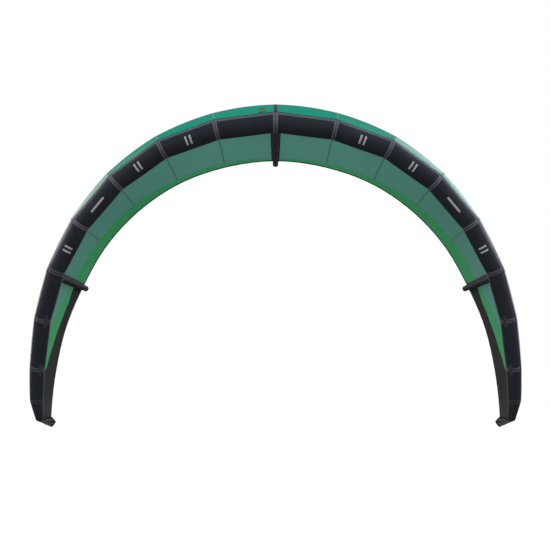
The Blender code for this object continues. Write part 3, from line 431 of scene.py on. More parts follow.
def newGroup(name, inputs, outputs):
    tree = bpy.data.node_groups.new(name, "ShaderNodeTree")
    for key in inputs:
        kind = "NodeSocketVector" if key in ("UV", "Vector") else "NodeSocketFloat"
        tree.interface.new_socket(name=key, in_out="INPUT", socket_type=kind)
    for key in outputs:
        tree.interface.new_socket(name=key, in_out="OUTPUT", socket_type="NodeSocketFloat")
    start = tree.nodes.new("NodeGroupInput")
    end = tree.nodes.new("NodeGroupOutput")
    return tree, Sketch(tree), start.outputs, end.inputs


# Plain weave: height is sin(2 pi threads x) * sin(2 pi threads y), shade is 1 plus a share of it.
def makeWeave():
    tree, g, start, end = newGroup("plainWeave", ("UV", "Threads", "Depth"), ("Height", "Shade"))
    x = g.add("ShaderNodeSeparateXYZ", {0: start["UV"]})
    turns = g.math("MULTIPLY", start["Threads"], 2 * math.pi)
    waves = [g.math("SINE", g.math("MULTIPLY", value, turns)) for value in (x, x.node.outputs[1])]
    wave = g.math("MULTIPLY", *waves)
    tree.links.new(wave, end["Height"])
    tree.links.new(g.math("MULTIPLY_ADD", wave, start["Depth"], 1.0), end["Shade"])
    return tree


# Ripstop grid: mask is 1 on the thick threads, where the distance of x or y to the nearest
# multiple of the cell is below half a line.
def makeRipstop():
    tree, g, start, end = newGroup("ripstopGrid", ("UV", "Cell", "Line"), ("Mask",))
    x = g.add("ShaderNodeSeparateXYZ", {0: start["UV"]})
    half = g.math("MULTIPLY", start["Line"], 0.5)
    masks = []
    for value in (x, x.node.outputs[1]):
        distance = g.math("PINGPONG", value, g.math("MULTIPLY", start["Cell"], 0.5))
        masks.append(g.math("LESS_THAN", distance, half))
    tree.links.new(g.math("MAXIMUM", *masks), end["Mask"])
    return tree


# Handling: a broad noise and a fine one for shade about 1, a crumpled one for height, and pale
# specks of dry salt and sand where a very fine noise is high.
def makeHandled():
    outputs = ("Shade", "Height", "Rough", "Specks")
    tree, g, start, end = newGroup("handledCloth", ("Vector", "Amount", "Crumple"), outputs)
    broad = g.math("SUBTRACT", g.noise(start["Vector"], 2.3, 4.0), 0.5)
    fine = g.math("SUBTRACT", g.noise(start["Vector"], 47.0, 3.0), 0.5)
    both = g.math("MULTIPLY_ADD", fine, 0.4, broad)
    tree.links.new(g.math("MULTIPLY_ADD", both, start["Amount"], 1.0), end["Shade"])
    tree.links.new(g.noise(start["Vector"], start["Crumple"], 3.5, 0.5), end["Height"])
    tree.links.new(g.math("MULTIPLY", fine, start["Amount"]), end["Rough"])
    grains = g.step(g.noise(start["Vector"], 620.0, 1.0), 0.70, 0.76)
    tree.links.new(g.math("MULTIPLY", grains, g.step(broad, 0.0, 0.25)), end["Specks"])
    return tree


# Zigzag thread: mask is 1 where across is within half a thread of centre + swing * a triangle
# wave of along / pitch. A swing of 0 makes a straight row of dashes.
def makeStitch():
    inputs = ("Along", "Across", "Centre", "Pitch", "Swing", "Thread")
    tree, g, start, end = newGroup("sewnRow", inputs, ("Mask",))
    phase = g.math("DIVIDE", start["Along"], start["Pitch"])
    triangle = g.math("MULTIPLY_ADD", g.math("PINGPONG", phase, 0.5), 4.0, -1.0)
    target = g.math("MULTIPLY_ADD", triangle, start["Swing"], start["Centre"])
    distance = g.math("ABSOLUTE", g.math("SUBTRACT", start["Across"], target))
    line = g.math("LESS_THAN", distance, g.math("MULTIPLY", start["Thread"], 0.5))
    dash = g.math("LESS_THAN", g.math("FRACT", g.math("MULTIPLY", phase, 2.0)), 0.8)
    tree.links.new(g.math("MULTIPLY", line, dash), end["Mask"])
    return tree


weaveGroup, ripstopGroup, handledGroup, stitchGroup = makeWeave(), makeRipstop(), makeHandled(), makeStitch()
sand = linear((150, 146, 136))


def newMaterial(name):
    material = bpy.data.materials.new(name)
    material.use_nodes = True
    g = Sketch(material.node_tree)
    where = g.add("ShaderNodeTexCoord", {}, out="Object")
    return material, g, material.node_tree.nodes["Principled BSDF"], where


def dress(g, shader, colour, height, depth, roughness, **constants):
    bump = g.add("ShaderNodeBump", {"Height": height, "Strength": 0.7, "Distance": depth})
    g.fill(shader, {"Base Color": colour, "Normal": bump, "Roughness": roughness})
    g.fill(shader, {key.replace("_", " "): value for key, value in constants.items()})


# How cloth is drawn: heights are shares of the bump's depth, the rest is in metres
clothLook = dict(bandEase=0.0005, edgeEase=0.0006, weaveHeight=0.02, gridLine=0.0007, gridHeight=0.05,
                 stitchWidth=0.0009, stitchHeight=0.2, paintedGlowFrom=-0.6, paintedGlowTo=0.15, paintedGlowLeast=0.55)


# Coated cloth on UV metres. Colour = rgb, or rear behind the band's seam line, or edge beyond a
# distance from the middle of a tape, times weave, handling and grid. The glow is painted light: the
# share of the colour given off as emission, standing in for daylight through the cloth, less down
# the sides: 0.55 + 0.45 * step of the height. Rows are stitches as (centre, swing) in the colour thread.
def makeCloth(name, rgb, roughness=0.6, threads=900.0, weave=0.08, amount=0.3, crumple=9.0, depth=0.004,
              grid=0.0, gridShade=-0.1, rear=None, edge=None, paintedGlow=0.0, sheen=0.05, specular=0.2,
              rows=(), pitch=0.0045, thread=(120, 122, 126), specks=0.25):
    material, g, shader, where = newMaterial(name)
    uv = g.add("ShaderNodeUVMap", {})
    along = g.add("ShaderNodeSeparateXYZ", {0: uv})
    across = along.node.outputs[1]
    lift, shade = g.group(weaveGroup, ("Height", "Shade"), UV=uv, Threads=threads, Depth=weave)
    tone, crease, rough, grains = g.group(handledGroup, ("Shade", "Height", "Rough", "Specks"), Vector=where,
                                          Amount=amount, Crumple=crumple)
    colour = linear(rgb)
    if rear is not None:
        reach = g.add("ShaderNodeAttribute", {}, out="Fac", attribute_name="bandReach")
        colour = g.mix(g.step(reach, -clothLook["bandEase"], clothLook["bandEase"]), colour, linear(rear))
    if edge is not None:
        beyond = g.step(g.math("ABSOLUTE", across), edge[0], edge[0] + clothLook["edgeEase"])
        colour = g.mix(beyond, colour, linear(edge[1]))
    colour = g.scaled(g.scaled(colour, shade), tone)
    height = g.math("MULTIPLY_ADD", lift, clothLook["weaveHeight"], crease)
    if grid:
        lines = g.group(ripstopGroup, ("Mask",), UV=uv, Cell=grid, Line=clothLook["gridLine"])[0]
        colour = g.scaled(colour, g.math("MULTIPLY_ADD", lines, gridShade, 1.0))
        height = g.math("MULTIPLY_ADD", lines, clothLook["gridHeight"], height)
    for centre, swing in rows:
        sewn = g.group(stitchGroup, ("Mask",), Along=along, Across=across, Centre=centre, Swing=swing,
                       Pitch=pitch, Thread=clothLook["stitchWidth"])[0]
        colour = g.mix(sewn, colour, linear(thread))
        height = g.math("MULTIPLY_ADD", sewn, clothLook["stitchHeight"], height)
    colour = g.mix(g.math("MULTIPLY", grains, specks), colour, sand)
    # Painted light: emission of the cloth's own colour, weaker lower down
    if paintedGlow:
        low = g.add("ShaderNodeSeparateXYZ", {0: where}, out=2)
        low = g.step(low, clothLook["paintedGlowFrom"], clothLook["paintedGlowTo"])
        share = g.math("MULTIPLY_ADD", low, 1.0 - clothLook["paintedGlowLeast"], clothLook["paintedGlowLeast"])
        g.fill(shader, {"Emission Color": g.scaled(colour, share), "Emission Strength": paintedGlow})
    dress(g, shader, colour, height, depth, g.math("ADD", rough, roughness),
          Sheen_Weight=sheen, Sheen_Roughness=0.4, Specular_IOR_Level=specular)
    return material


# Moulded plastic or rubber: fine spark-eroded grain, faint flow marks and paler rubbed places.
def makePlastic(name, rgb, roughness, grain=900.0, rub=0.25):
    material, g, shader, where = newMaterial(name)
    flow, low, rough, grains = g.group(handledGroup, ("Shade", "Height", "Rough", "Specks"), Vector=where,
                                       Amount=0.3, Crumple=grain)
    rubbed = g.step(g.noise(where, 130.0, 5.0, 0.7), 0.56, 0.72)
    paler = linear(np.minimum(np.array(rgb) * 1.7 + 22, 235))
    colour = g.mix(g.math("MULTIPLY", rubbed, rub), g.scaled(linear(rgb), flow), paler)
    colour = g.mix(g.math("MULTIPLY", grains, 0.15), colour, sand)
    rough = g.math("MULTIPLY_ADD", rubbed, 0.12, g.math("ADD", rough, roughness))
    dress(g, shader, colour, low, 0.0003, rough, Specular_IOR_Level=0.5)
    return material


# Stitch rows at the same distance on both sides of a strip's middle
def rowPair(distance, swing=0.0):
    return (-distance, swing), (distance, swing)


edgeCloth = makeCloth("blackEdgeCloth", (40, 44, 51), 0.42, specular=0.07, amount=0.5, crumple=7.0,
                      depth=0.006)
tipEdgeCloth = makeCloth("charcoalTipCloth", (40, 42, 46), amount=0.5, crumple=8.0, depth=0.006)
tapeCloth = makeCloth("greySeamTape", (66, 68, 74), 0.5, edge=(0.0080, (94, 96, 104)), specular=0.35,
                      rows=rowPair(0.0118, 0.0016), thread=(136, 138, 144))
lowTapeCloth = makeCloth("lowerSeamTape", (58, 60, 65), 0.55, edge=(0.0080, (82, 84, 91)),
                         rows=rowPair(0.0118, 0.0016), thread=(124, 126, 132))
tipJointCloth = makeCloth("tipJointTape", (37, 39, 42), rows=((-0.010, 0.0018), (0.006, 0.0018)),
                          thread=(66, 68, 72), specular=0.08)
tipTapeCloth = makeCloth("darkSeamTape", (48, 50, 53), edge=(0.0080, (56, 58, 62)),
                         rows=rowPair(0.0118, 0.0016), thread=(86, 88, 92))
canopyTapeCloth = makeCloth("canopySeamTape", (84, 88, 97), rows=((-0.014, 0.0020), (0.009, 0.0020)),
                            thread=(140, 142, 148), specular=0.15)
coverCloth = makeCloth("frontCover", (31, 40, 43), 0.34, amount=0.4, grid=0.0055, gridShade=0.2,
                       specular=0.22)
closingCloth = makeCloth("closingSeam", (36, 39, 45), rows=rowPair(0.005), pitch=0.006)
patchCloth = makeCloth("strapPatch", (70, 74, 80), 0.65, rows=((0.0022, 0.0),), thread=(118, 121, 126),
                       edge=(0.0034, (34, 37, 42)))
# The strut cloth gets painted glow, weaker lower down, so the centre strut shows lighter than the side struts
strutCloth = makeCloth("strutCloth", (50, 48, 51), 0.62, specular=0.04, amount=0.5, crumple=8.0, depth=0.005,
                       paintedGlow=0.3, sheen=0.0)
strutSeamCloth = makeCloth("strutSeam", (26, 28, 31), 0.65, rows=rowPair(0.0035), thread=(84, 86, 90))
capCloth = makeCloth("strutEndWebbing", (17, 18, 19), 0.75, threads=420.0, weave=0.25, specular=0.15)
canopyTop = makeCloth("greenRipstopTop", (0, 150, 121), 0.24, threads=2600.0, amount=0.2, crumple=4.0,
                      depth=0.003, grid=0.0055, rear=(30, 156, 84), sheen=0.0, specular=0.32, specks=0.0)
# The under side is painted light: a paler, greyer copy of the top's colours for the light through the cloth,
# with painted glow
canopyUnder = makeCloth("greenRipstopUnder", (86, 146, 131), threads=2600.0, amount=0.16, crumple=5.0,
                        depth=0.006, grid=0.0055, rear=(60, 154, 96), paintedGlow=0.38, specular=0.05, specks=0.1,
                        sheen=0.0)
tipTop = makeCloth("darkRipstopTop", (40, 42, 44), 0.55, threads=2600.0, crumple=5.0, depth=0.006,
                   grid=0.0055, gridShade=0.25, rear=(30, 32, 35))
# The tip's under side is painted light: a paler copy of the tip cloth's colour for its lit lower face
tipUnder = makeCloth("darkRipstopUnder", (50, 50, 49), 0.65, threads=2600.0, amount=0.45, crumple=5.0,
                     depth=0.006, grid=0.0055, gridShade=0.3, specular=0.03, sheen=0.0, rear=(31, 33, 35))
# The seams under the canopy get painted glow to match the lit under cloth
goreSeamCloth = makeCloth("goreSeam", (68, 120, 106), rows=rowPair(0.0045), pitch=0.006,
                          thread=(96, 150, 134), paintedGlow=0.30)
bandSeamCloth = makeCloth("bandSeam", (58, 138, 94), rows=((0.0, 0.0012),), thread=(110, 176, 130), paintedGlow=0.28)
# The saddle's dark colour is partly a real strip and partly painted shadow beside the strut
saddleAndShadeCloth = makeCloth("strutSaddleAndShade", (44, 50, 50), sheen=0.0)
bindingCloth = makeCloth("edgeBinding", (26, 28, 30), 0.65, rows=rowPair(0.0032, 0.0010), thread=(92, 94, 96))
rearBindingCloth = makeCloth("rearBinding", (32, 33, 34), 0.65, rows=rowPair(0.0075, 0.0010),
                             thread=(92, 94, 96), sheen=0.0)
centreStripCloth = makeCloth("centreStrip", (58, 52, 62), rows=rowPair(0.0105), thread=(104, 100, 108))
flapSeamCloth = makeCloth("flapSeam", (74, 77, 80), 0.7, rows=((0.0, 0.0013),), thread=(150, 152, 154),
                          pitch=0.004)
markCloth = makeCloth("paleMark", (168, 171, 176), 0.5, amount=0.25, crumple=12.0, specks=0.1, specular=0.3)
labelCloth = makeCloth("wovenLabel", (96, 116, 30), 0.7, threads=1400.0, weave=0.25,
                       edge=(0.020, (38, 46, 26)))
strapCloth = makeCloth("strapWebbing", (58, 60, 64), 0.8, threads=380.0, weave=0.35,
                       edge=(0.0070, (44, 46, 49)), specular=0.15)
cordFinish = makeCloth("paleCord", (160, 161, 158), 0.75, threads=1800.0, weave=0.3, amount=0.2)
bladderFilm = makePlastic("bladderFilm", (196, 202, 196), 0.25, grain=60.0)
hoseFinish = makePlastic("hoseRubber", (78, 82, 86), 0.38, grain=300.0, rub=0.15)
plasticDark = makePlastic("darkPlastic", (23, 24, 26), 0.38)
plasticGrey = makePlastic("greyPlastic", (96, 100, 104), 0.38)
print("materials made")


# Cords first: a short line hangs from each corner flap and ends in a stopper knot
pigtail = dict(length=0.044, diameter=0.0032, leanDegrees=20.0, flapShare=0.6, rings=90, sides=24,
               strands=4, strandDepth=0.00024, twists=9, knotAt=0.86, knotSpread=0.07, knotScale=2.2,
               seatOut=0.0006, seatDown=0.0007, endRound=0.015, core=0.3)


# The line runs down and turns to lean outwards; its radius has a swelling exp(-x^2) for the knot
# and small ridges sin(strands * angle + twist) for the braid.
def makePigtail(side, material):
    top, count = float(lastSection), pigtail["rings"]
    root = clothBase(top, pigtail["flapShare"]) + pigtail["seatOut"] * clothNormal(top, pigtail["flapShare"])
    down = np.array([0.0, 0.0, -1.0])
    lean = math.radians(pigtail["leanDegrees"])
    share = np.linspace(0.0, 1.0, count)[:, None]
    bend = smoothStep(2.0 * share)
    leaned = np.array([math.sin(lean), 0.0, -math.cos(lean)])
    hang = unit((1.0 - bend) * down + bend * leaned)
    line = root + pigtail["seatDown"] * down + share * pigtail["length"] * hang
    along = unit(np.gradient(line, axis=0))
    across = unit(np.cross(along, backAxis))
    other = np.cross(along, across)
    angle = fullTurn(pigtail["sides"])[None, :]
    knot = np.exp(-(((share - pigtail["knotAt"]) / pigtail["knotSpread"]) ** 2))
    strands, twist = pigtail["strands"] * angle, 2 * np.pi * pigtail["twists"] * share
    ridges = np.sin(strands + twist) * np.sin(strands - twist)
    radius = pigtail["diameter"] / 2 * (1.0 + (pigtail["knotScale"] - 1.0) * knot)
    radius = radius + pigtail["strandDepth"] * ridges * (1.0 + 2.0 * knot)
    ends = np.clip(np.minimum(share, 1.0 - share) / pigtail["endRound"], 0.0, 1.0) ** 0.5
    radius = (radius * np.maximum(ends, 1e-4))[..., None]
    reach = radius * (np.cos(angle)[..., None] * across[:, None] + np.sin(angle)[..., None] * other[:, None])
    hand = sideName(side)
    uv = gridOf(np.linspace(0, pigtail["length"], count), np.linspace(0, 0.01, pigtail["sides"] + 1))
    middle = line[:, None]
    piece = makeShell("rear_line_" + hand, side, middle + reach, middle + pigtail["core"] * reach, uv,
                      [material], "white_cord", "rear_pigtail_" + hand, wrapCols=True, poles=True)


# UV across the tube at a seam, once round.
def roundTube(seam, columns):
    return tubeRadii[seam] * np.linspace(0, 2 * np.pi, columns + 1)


# Leading edge cloth between two seams, with its barrel and puckers
def makeTubePanel(index, side, material):
    w = index + np.linspace(0.0, tube["lastShare"], tube["rows"])
    ww, aa = gridOf(w, fullTurn(tube["columns"]))
    skin = tubeSkin(ww, aa)
    hand = f"{sideName(side)}_{index + 1}"
    uv = gridOf(np.linspace(0, stretchLengths[index], tube["rows"]), roundTube(index, tube["columns"]))
    makeShell("edge_cloth_" + hand, side, tubePoint(ww, aa, skin), tubePoint(ww, aa, skin - tube["wall"]), uv,
              [material], "black_dacron", "leading_edge_panel_" + hand, padded=True, wrapCols=True)


tubeTip = dict(rows=24, domeRows=15, domeLength=0.022, foldDepth=0.0008, folds=11, domeUv=0.03)


# The tip stretch, then a dome: centre moves by length * sin(turn), radius shrinks by cos(turn).
# Radial folds deepen towards the pole, where the cloth is gathered.
def makeTubeTip(side, material):
    share = np.linspace(0.0, tube["lastShare"], tubeTip["rows"])
    angle = fullTurn(tube["columns"])
    ww, aa = gridOf(lastStation - 1 + share, angle)
    skin = np.minimum(tubeSkin(ww, aa), 0.0)
    turn = np.linspace(0.0, np.pi / 2, tubeTip["domeRows"] + 1)[1:, None]
    ring = np.cos(angle)[:, None] * tubeForward[-1] + np.sin(angle)[:, None] * tubeOutward[-1]
    creases = 0.5 + 0.5 * np.sin(tubeTip["folds"] * angle)
    folds = tubeTip["foldDepth"] * np.sin(turn) * np.cos(turn) * creases

    def dome(less):
        centres = axisPoints[-1] + (tubeTip["domeLength"] - less) * np.sin(turn) * tubeAlong[-1]
        reach = (tubeRadii[-1] - less) * np.cos(turn) - folds
        return centres[:, None] + reach[..., None] * ring[None]

    over = np.concatenate([tubePoint(ww, aa, skin), dome(0.0)])
    under = np.concatenate([tubePoint(ww, aa, skin - tube["wall"]), dome(tube["wall"])])
    along = np.append(share * stretchLengths[-1], stretchLengths[-1] + tubeTip["domeUv"] * np.sin(turn))
    makeShell("edge_tip_" + sideName(side), side, over, under, gridOf(along, roundTube(-1, tube["columns"])),
              [material], "charcoal_dacron", "leading_edge_tip_" + sideName(side), padded=True, wrapCols=True,
              poles=True)


seamTape = dict(columns=25, rows=140, lift=0.0003, thickness=0.0006, ease=0.0012, rollAt=0.8, rollWidth=0.14,
                roll=0.0006, wave=0.0002, waves=31, sunk=0.0016)


# The band sewn over a seam: a ring of cloth with two rolled borders, thinnest at its rims
def makeSeamTape(seam, side, material):
    half = tube["centreTapeHalf"] if seam == 0 else tube["tapeHalf"]
    offset = half * np.linspace(-1.0, 1.0, seamTape["columns"])
    aa, tt = gridOf(fullTurn(seamTape["rows"]), offset)
    w = besideSeam(seam, tt)
    beyond = np.abs(tt) / half - seamTape["rollAt"]
    roll = seamTape["roll"] * np.exp(-((beyond / seamTape["rollWidth"]) ** 2))
    edge = smoothStep((half - np.abs(tt)) / seamTape["ease"])
    wave = seamTape["wave"] * np.sin(seamTape["waves"] * aa + 2.0 * np.sin(5 * aa))
    lift = seamTape["lift"] + roll + edge * (seamTape["thickness"] + wave)
    over, under = tubePoint(w, aa, lift), tubePoint(w, aa, -seamTape["sunk"])
    if seam == 0:
        flip = np.where(tt < 0, -1.0, 1.0)
        over, under = sided(over, flip), sided(under, flip)
    name = "edge_tape_centre" if seam == 0 else f"edge_tape_{sideName(side)}_{seam}"
    makeShell(name, side, over, under, gridOf(roundTube(seam, seamTape["rows"]), offset), [material],
              "charcoal_dacron", wrapRows=True)


# How strips and patches lie: their least height over cloth, how deep their under side is sunk in
# it, and how far their rims take to rise
lay = dict(onTube=0.0006, inTube=0.0005, onCloth=0.0004, inCloth=0.0004, ease=0.0012)
closingSeam = dict(degrees=222.0, half=0.008, rise=0.0006, columns=11)
joinTapes = {"canopy_tape": dict(first=0, last=5, front=0.019, rear=0.014, rise=0.0008),
             "tip_joint_tape": dict(first=5, last=lastStation, front=0.015, rear=0.012, rise=0.0008)}


# A long strip under the tube from the centre to the tip: angle = degrees + reach / radius
def makeClosingSeam(side, material):
    half = closingSeam["half"]
    w = stationRow(0, lastStation, lastStation - 0.001)
    reach = np.linspace(half, -half, closingSeam["columns"])
    ww, tt = gridOf(w, reach)
    aa = math.radians(closingSeam["degrees"]) + tt / radiusAt(ww)
    skin = tubeSkin(ww, aa)
    lift = lay["onTube"] + closingSeam["rise"] * smoothStep((half - np.abs(tt)) / lay["ease"])
    makeShell("closing_seam_" + sideName(side), side, tubePoint(ww, aa, skin + lift),
              tubePoint(ww, aa, skin - lay["inTube"]), gridOf(spanOf(w), reach), [material],
              "charcoal_dacron")


# The tape over the joint of tube and canopy: its front part lies on the tube, its rear part on
# the canopy. Offsets run from below the joint to behind it.
def makeJoinTape(name, side, material):
    shape = joinTapes[name]
    w = stationRow(shape["first"], shape["last"], shape["last"] - 0.001)
    onTube, onCloth = np.linspace(-shape["front"], -0.001, 15), np.linspace(0.002, shape["rear"], 8)
    ww, tt = gridOf(w, onTube)
    angle = math.radians(canopy["seamDegrees"]) + tt / radiusAt(ww)
    skin = tubeSkin(ww, angle)
    rise = lay["onTube"] + shape["rise"] * smoothStep((shape["front"] + tt) / lay["ease"])
    overTube, underTube = tubePoint(ww, angle, skin + rise), tubePoint(ww, angle, skin - lay["inTube"])
    ww, tt = gridOf(w, onCloth)
    share = tt / chordAt(ww)
    rise = lay["onCloth"] + shape["rise"] * smoothStep((shape["rear"] - tt) / lay["ease"])
    over = np.concatenate([overTube, cloth(ww, share, canopy["thickness"] + rise)], axis=1)
    under = np.concatenate([underTube, cloth(ww, share, lay["inCloth"])], axis=1)
    makeShell(f"{name}_{sideName(side)}", side, over, under, gridOf(spanOf(w), np.append(onTube, onCloth)),
              [material], "charcoal_dacron")


patch = dict(rows=49, columns=15, lift=0.0003, seamLift=0.0009, ease=0.001, sunk=0.0006)


# A patch on the tube. Its outline is |x / half|^n + |y / halfAcross|^n = 1: round where n is 2,
# a bar with rounded corners where n is large. The second UV is the distance from the rim.
def makeTubePatch(name, side, w, degrees, half, halfAcross, n, rise, material):
    x = np.sin(np.linspace(-np.pi / 2, np.pi / 2, patch["rows"]))[:, None]
    y = np.linspace(-1.0, 1.0, patch["columns"]) * np.maximum(1.0 - np.abs(x) ** n, 0.0) ** (1.0 / n)
    along, across = np.broadcast_arrays(half * x, halfAcross * y)
    rim = halfAcross * (1.0 - (np.abs(x) ** n + np.abs(y) ** n) ** (1.0 / n))
    seam = int(w)
    onSeam = w == seam
    station = besideSeam(seam, along) if onSeam else w + along / stretchLengths[seam]
    angle = math.radians(degrees) + across / tubeRadii[seam]
    skin = patch["seamLift"] if onSeam else tubeSkin(station, angle)
    over = tubePoint(station, angle, skin + patch["lift"] + rise * smoothStep(rim / patch["ease"]))
    makeShell(f"{name}_{sideName(side)}", side, over, tubePoint(station, angle, skin - patch["sunk"]),
              (along, rim), [material], "black_dacron", poles=True)


# Webbing along the tube over a seam, with a raised loop in its middle for a bridle line
webbing = dict(seams=(6, 7), angleDegrees=-33.75, width=0.018, half=0.05, loopHalf=0.02, loopRise=0.006,
               loopSink=0.001, thickness=0.0016, bed=0.0024, endEase=0.002, rimEase=0.0008, under=0.0008,
               rows=80, columns=11, patchHalf=0.052, patchAcross=0.0135, patchRise=0.0008)


# Height along the webbing: flat ends, then smooth ramps up to the loop
def makeWebbing(seam, side, material):
    half, width = webbing["half"], webbing["width"]
    run = np.linspace(-half, half, webbing["rows"])
    reach = width / 2 * np.linspace(-1.0, 1.0, webbing["columns"])
    rr, tt = gridOf(run, reach)
    angle = math.radians(webbing["angleDegrees"]) + tt / tubeRadii[seam]
    loop = smoothStep((webbing["loopHalf"] + webbing["loopRise"] - np.abs(rr)) / webbing["loopRise"])
    ends = smoothStep((half - np.abs(rr)) / webbing["endEase"])
    rims = smoothStep((width / 2 - np.abs(tt)) / webbing["rimEase"])
    high = webbing["bed"] + webbing["thickness"] * (0.35 + 0.45 * ends + 0.2 * rims)
    high = high + (webbing["loopRise"] - webbing["loopSink"]) * loop
    station, hand = besideSeam(seam, rr), f"{sideName(side)}_{seam}"
    makeShell("line_strap_" + hand, side, tubePoint(station, angle, high),
              tubePoint(station, angle, webbing["under"]), gridOf(run, reach), [material], "strap_webbing",
              "bridle_strap_" + hand)


# Canopy cloth
sideStrutAt = 5 + 0.022 / stretchLengths[5]


def bandShare(u):
    return np.interp(u, canopy["bandStations"], canopy["bandShares"])


def tipBoundary(u):
    return np.interp(u, (sideStrutAt,) + canopy["tipStations"], (canopy["strutShare"],) + canopy["tipShares"])


# Rear end of the cloth as a share of the chord: 1, less two rounded corners on the flap
def rearShare(u):
    upper = canopy["cornerCut"] * np.exp(-(((u - 10.0) / canopy["cornerReach"]) ** 2))
    bottom = np.clip((u - lastSection) / canopy["bottomRound"] + 1.0, 0.0, 1.0)
    return 1.0 - upper - canopy["bottomCut"] * (1.0 - np.sqrt(1.0 - bottom**2))


# A cut of canopy cloth between its top and its under side. bandReach is positive where the rear
# colour starts: behind the band's seam line, or on the corner flap. Its flat size is the longest
# run along the surface each way. Its UV is in metres, along the span and back along the chord.
def clothPiece(name, side, u, v, materials, slot, node):
    over = cloth(u, v, canopy["thickness"])
    uv = (spanOf(u), v * chordAt(u))
    piece = makeShell(name, side, over, cloth(u, v), uv, materials, slot, node, lining=1)
    band = (v - bandShare(u)) * chordAt(u) if slot == "green_ripstop" else 0.1 * (u - lastStation)
    attribute = piece.data.attributes.new("bandReach", "FLOAT", "POINT")
    attribute.data.foreach_set("value", np.tile(band.ravel(), 2).astype(np.float32))


# Cloth between two seams, over the whole chord. The fifth goes on to the side strut.
def makeGore(index, side, materials):
    u = np.linspace(index, index + 1, 30)
    if index == 4:
        u = np.append(u, sideStrutAt)
    uu, vv = gridOf(u, np.linspace(0.0, 1.0, 90) ** 1.3)
    hand = f"{sideName(side)}_{index + 1}"
    clothPiece("canopy_gore_" + hand, side, uu, vv, materials, "green_ripstop", "canopy_panel_" + hand)


# Stations in runs of (first, last, count), each run without its last one, which the next starts.
def runs(*parts):
    return np.concatenate([np.linspace(a, b, n)[:-1] for a, b, n in parts])


# Cloth behind the tube from the side strut on, which narrows along the tip's boundary
def makeWedge(side, materials):
    u = np.append(runs((sideStrutAt, 6, 26), (6, 7, 26)), np.linspace(7, 7.93, 30))
    uu, tt = gridOf(u, np.linspace(0.0, 1.0, 60) ** 1.2)
    hand = sideName(side)
    clothPiece("canopy_wedge_cloth_" + hand, side, uu, tt * tipBoundary(uu), materials, "green_ripstop",
               "canopy_wedge_" + hand)


# Cloth behind that boundary, with the corner flap below it; the last rows follow its round corner
def makeTipCloth(side, materials):
    roundFrom = lastSection - canopy["bottomRound"]
    u = runs((sideStrutAt, 6, 24), (6, 7, 24), (7, 8, 26), (8, 9, 16), (9, 10, 14), (10, roundFrom, 10))
    u = np.append(u, lastSection - canopy["bottomRound"] * np.linspace(1.0, 0.0, 14) ** 2)
    uu, tt = gridOf(u, np.linspace(0.0, 1.0, 60))
    front = tipBoundary(uu)
    clothPiece("tip_cloth_" + sideName(side), side, uu, front + tt * (rearShare(uu) - front), materials,
               "dark_ripstop", "tip_panel_" + sideName(side))


cover = dict(front=0.008, reach=0.028, widening=0.12, widensFrom=3.4, widensOver=1.5, tipGap=0.004,
             columns=15, lift=0.0002, thickness=0.0003, ease=0.0015)


# Dark cover on the front of the canopy's top: a narrow line as far as the outer gores, where it
# widens towards the tip
def makeFrontCover(side, material):
    u = stationRow(0, 7, np.linspace(7.0, 7.88, 40))
    reach = cover["reach"] + cover["widening"] * smoothStep((u - cover["widensFrom"]) / cover["widensOver"])
    room = tipBoundary(u) * chordAt(u) - cover["tipGap"]
    reach = np.where(u > sideStrutAt, np.minimum(reach, room), reach)[:, None]
    uu, across = gridOf(u, np.linspace(0.0, 1.0, cover["columns"]))
    offset = cover["front"] + (reach - cover["front"]) * across
    lift = cover["lift"] + cover["thickness"] * smoothStep((reach - offset) / cover["ease"])
    share = offset / chordAt(uu)
    makeShell("front_cover_" + sideName(side), side, cloth(uu, share, canopy["thickness"] + lift),
              cloth(uu, share, lay["inCloth"]), (spanOf(uu), offset), [material], "dark_ripstop")


# Cloth point that may lie past an edge: mirrored at the centre, elsewhere carried on straight by
# the slope over the last step
def clothBeyond(u, v, height):
    u, v, height = np.broadcast_arrays(u, v, height)
    uIn, vIn = np.clip(np.abs(u), 0.0, lastSection), np.clip(v, 0.0, 1.0)
    point = cloth(uIn, vIn, height)
    stepU, stepV = 0.01, 0.005
    spanwise = (clothBase(float(lastSection), vIn) - clothBase(lastSection - stepU, vIn)) / stepU
    rearward = (clothBase(uIn, 1.0) - clothBase(uIn, 1.0 - stepV)) / stepV
    point = point + (np.abs(u) - uIn)[..., None] * spanwise + (np.maximum(v, 1.0) - 1.0)[..., None] * rearward
    return sided(point, np.where(u < 0, -1.0, 1.0))


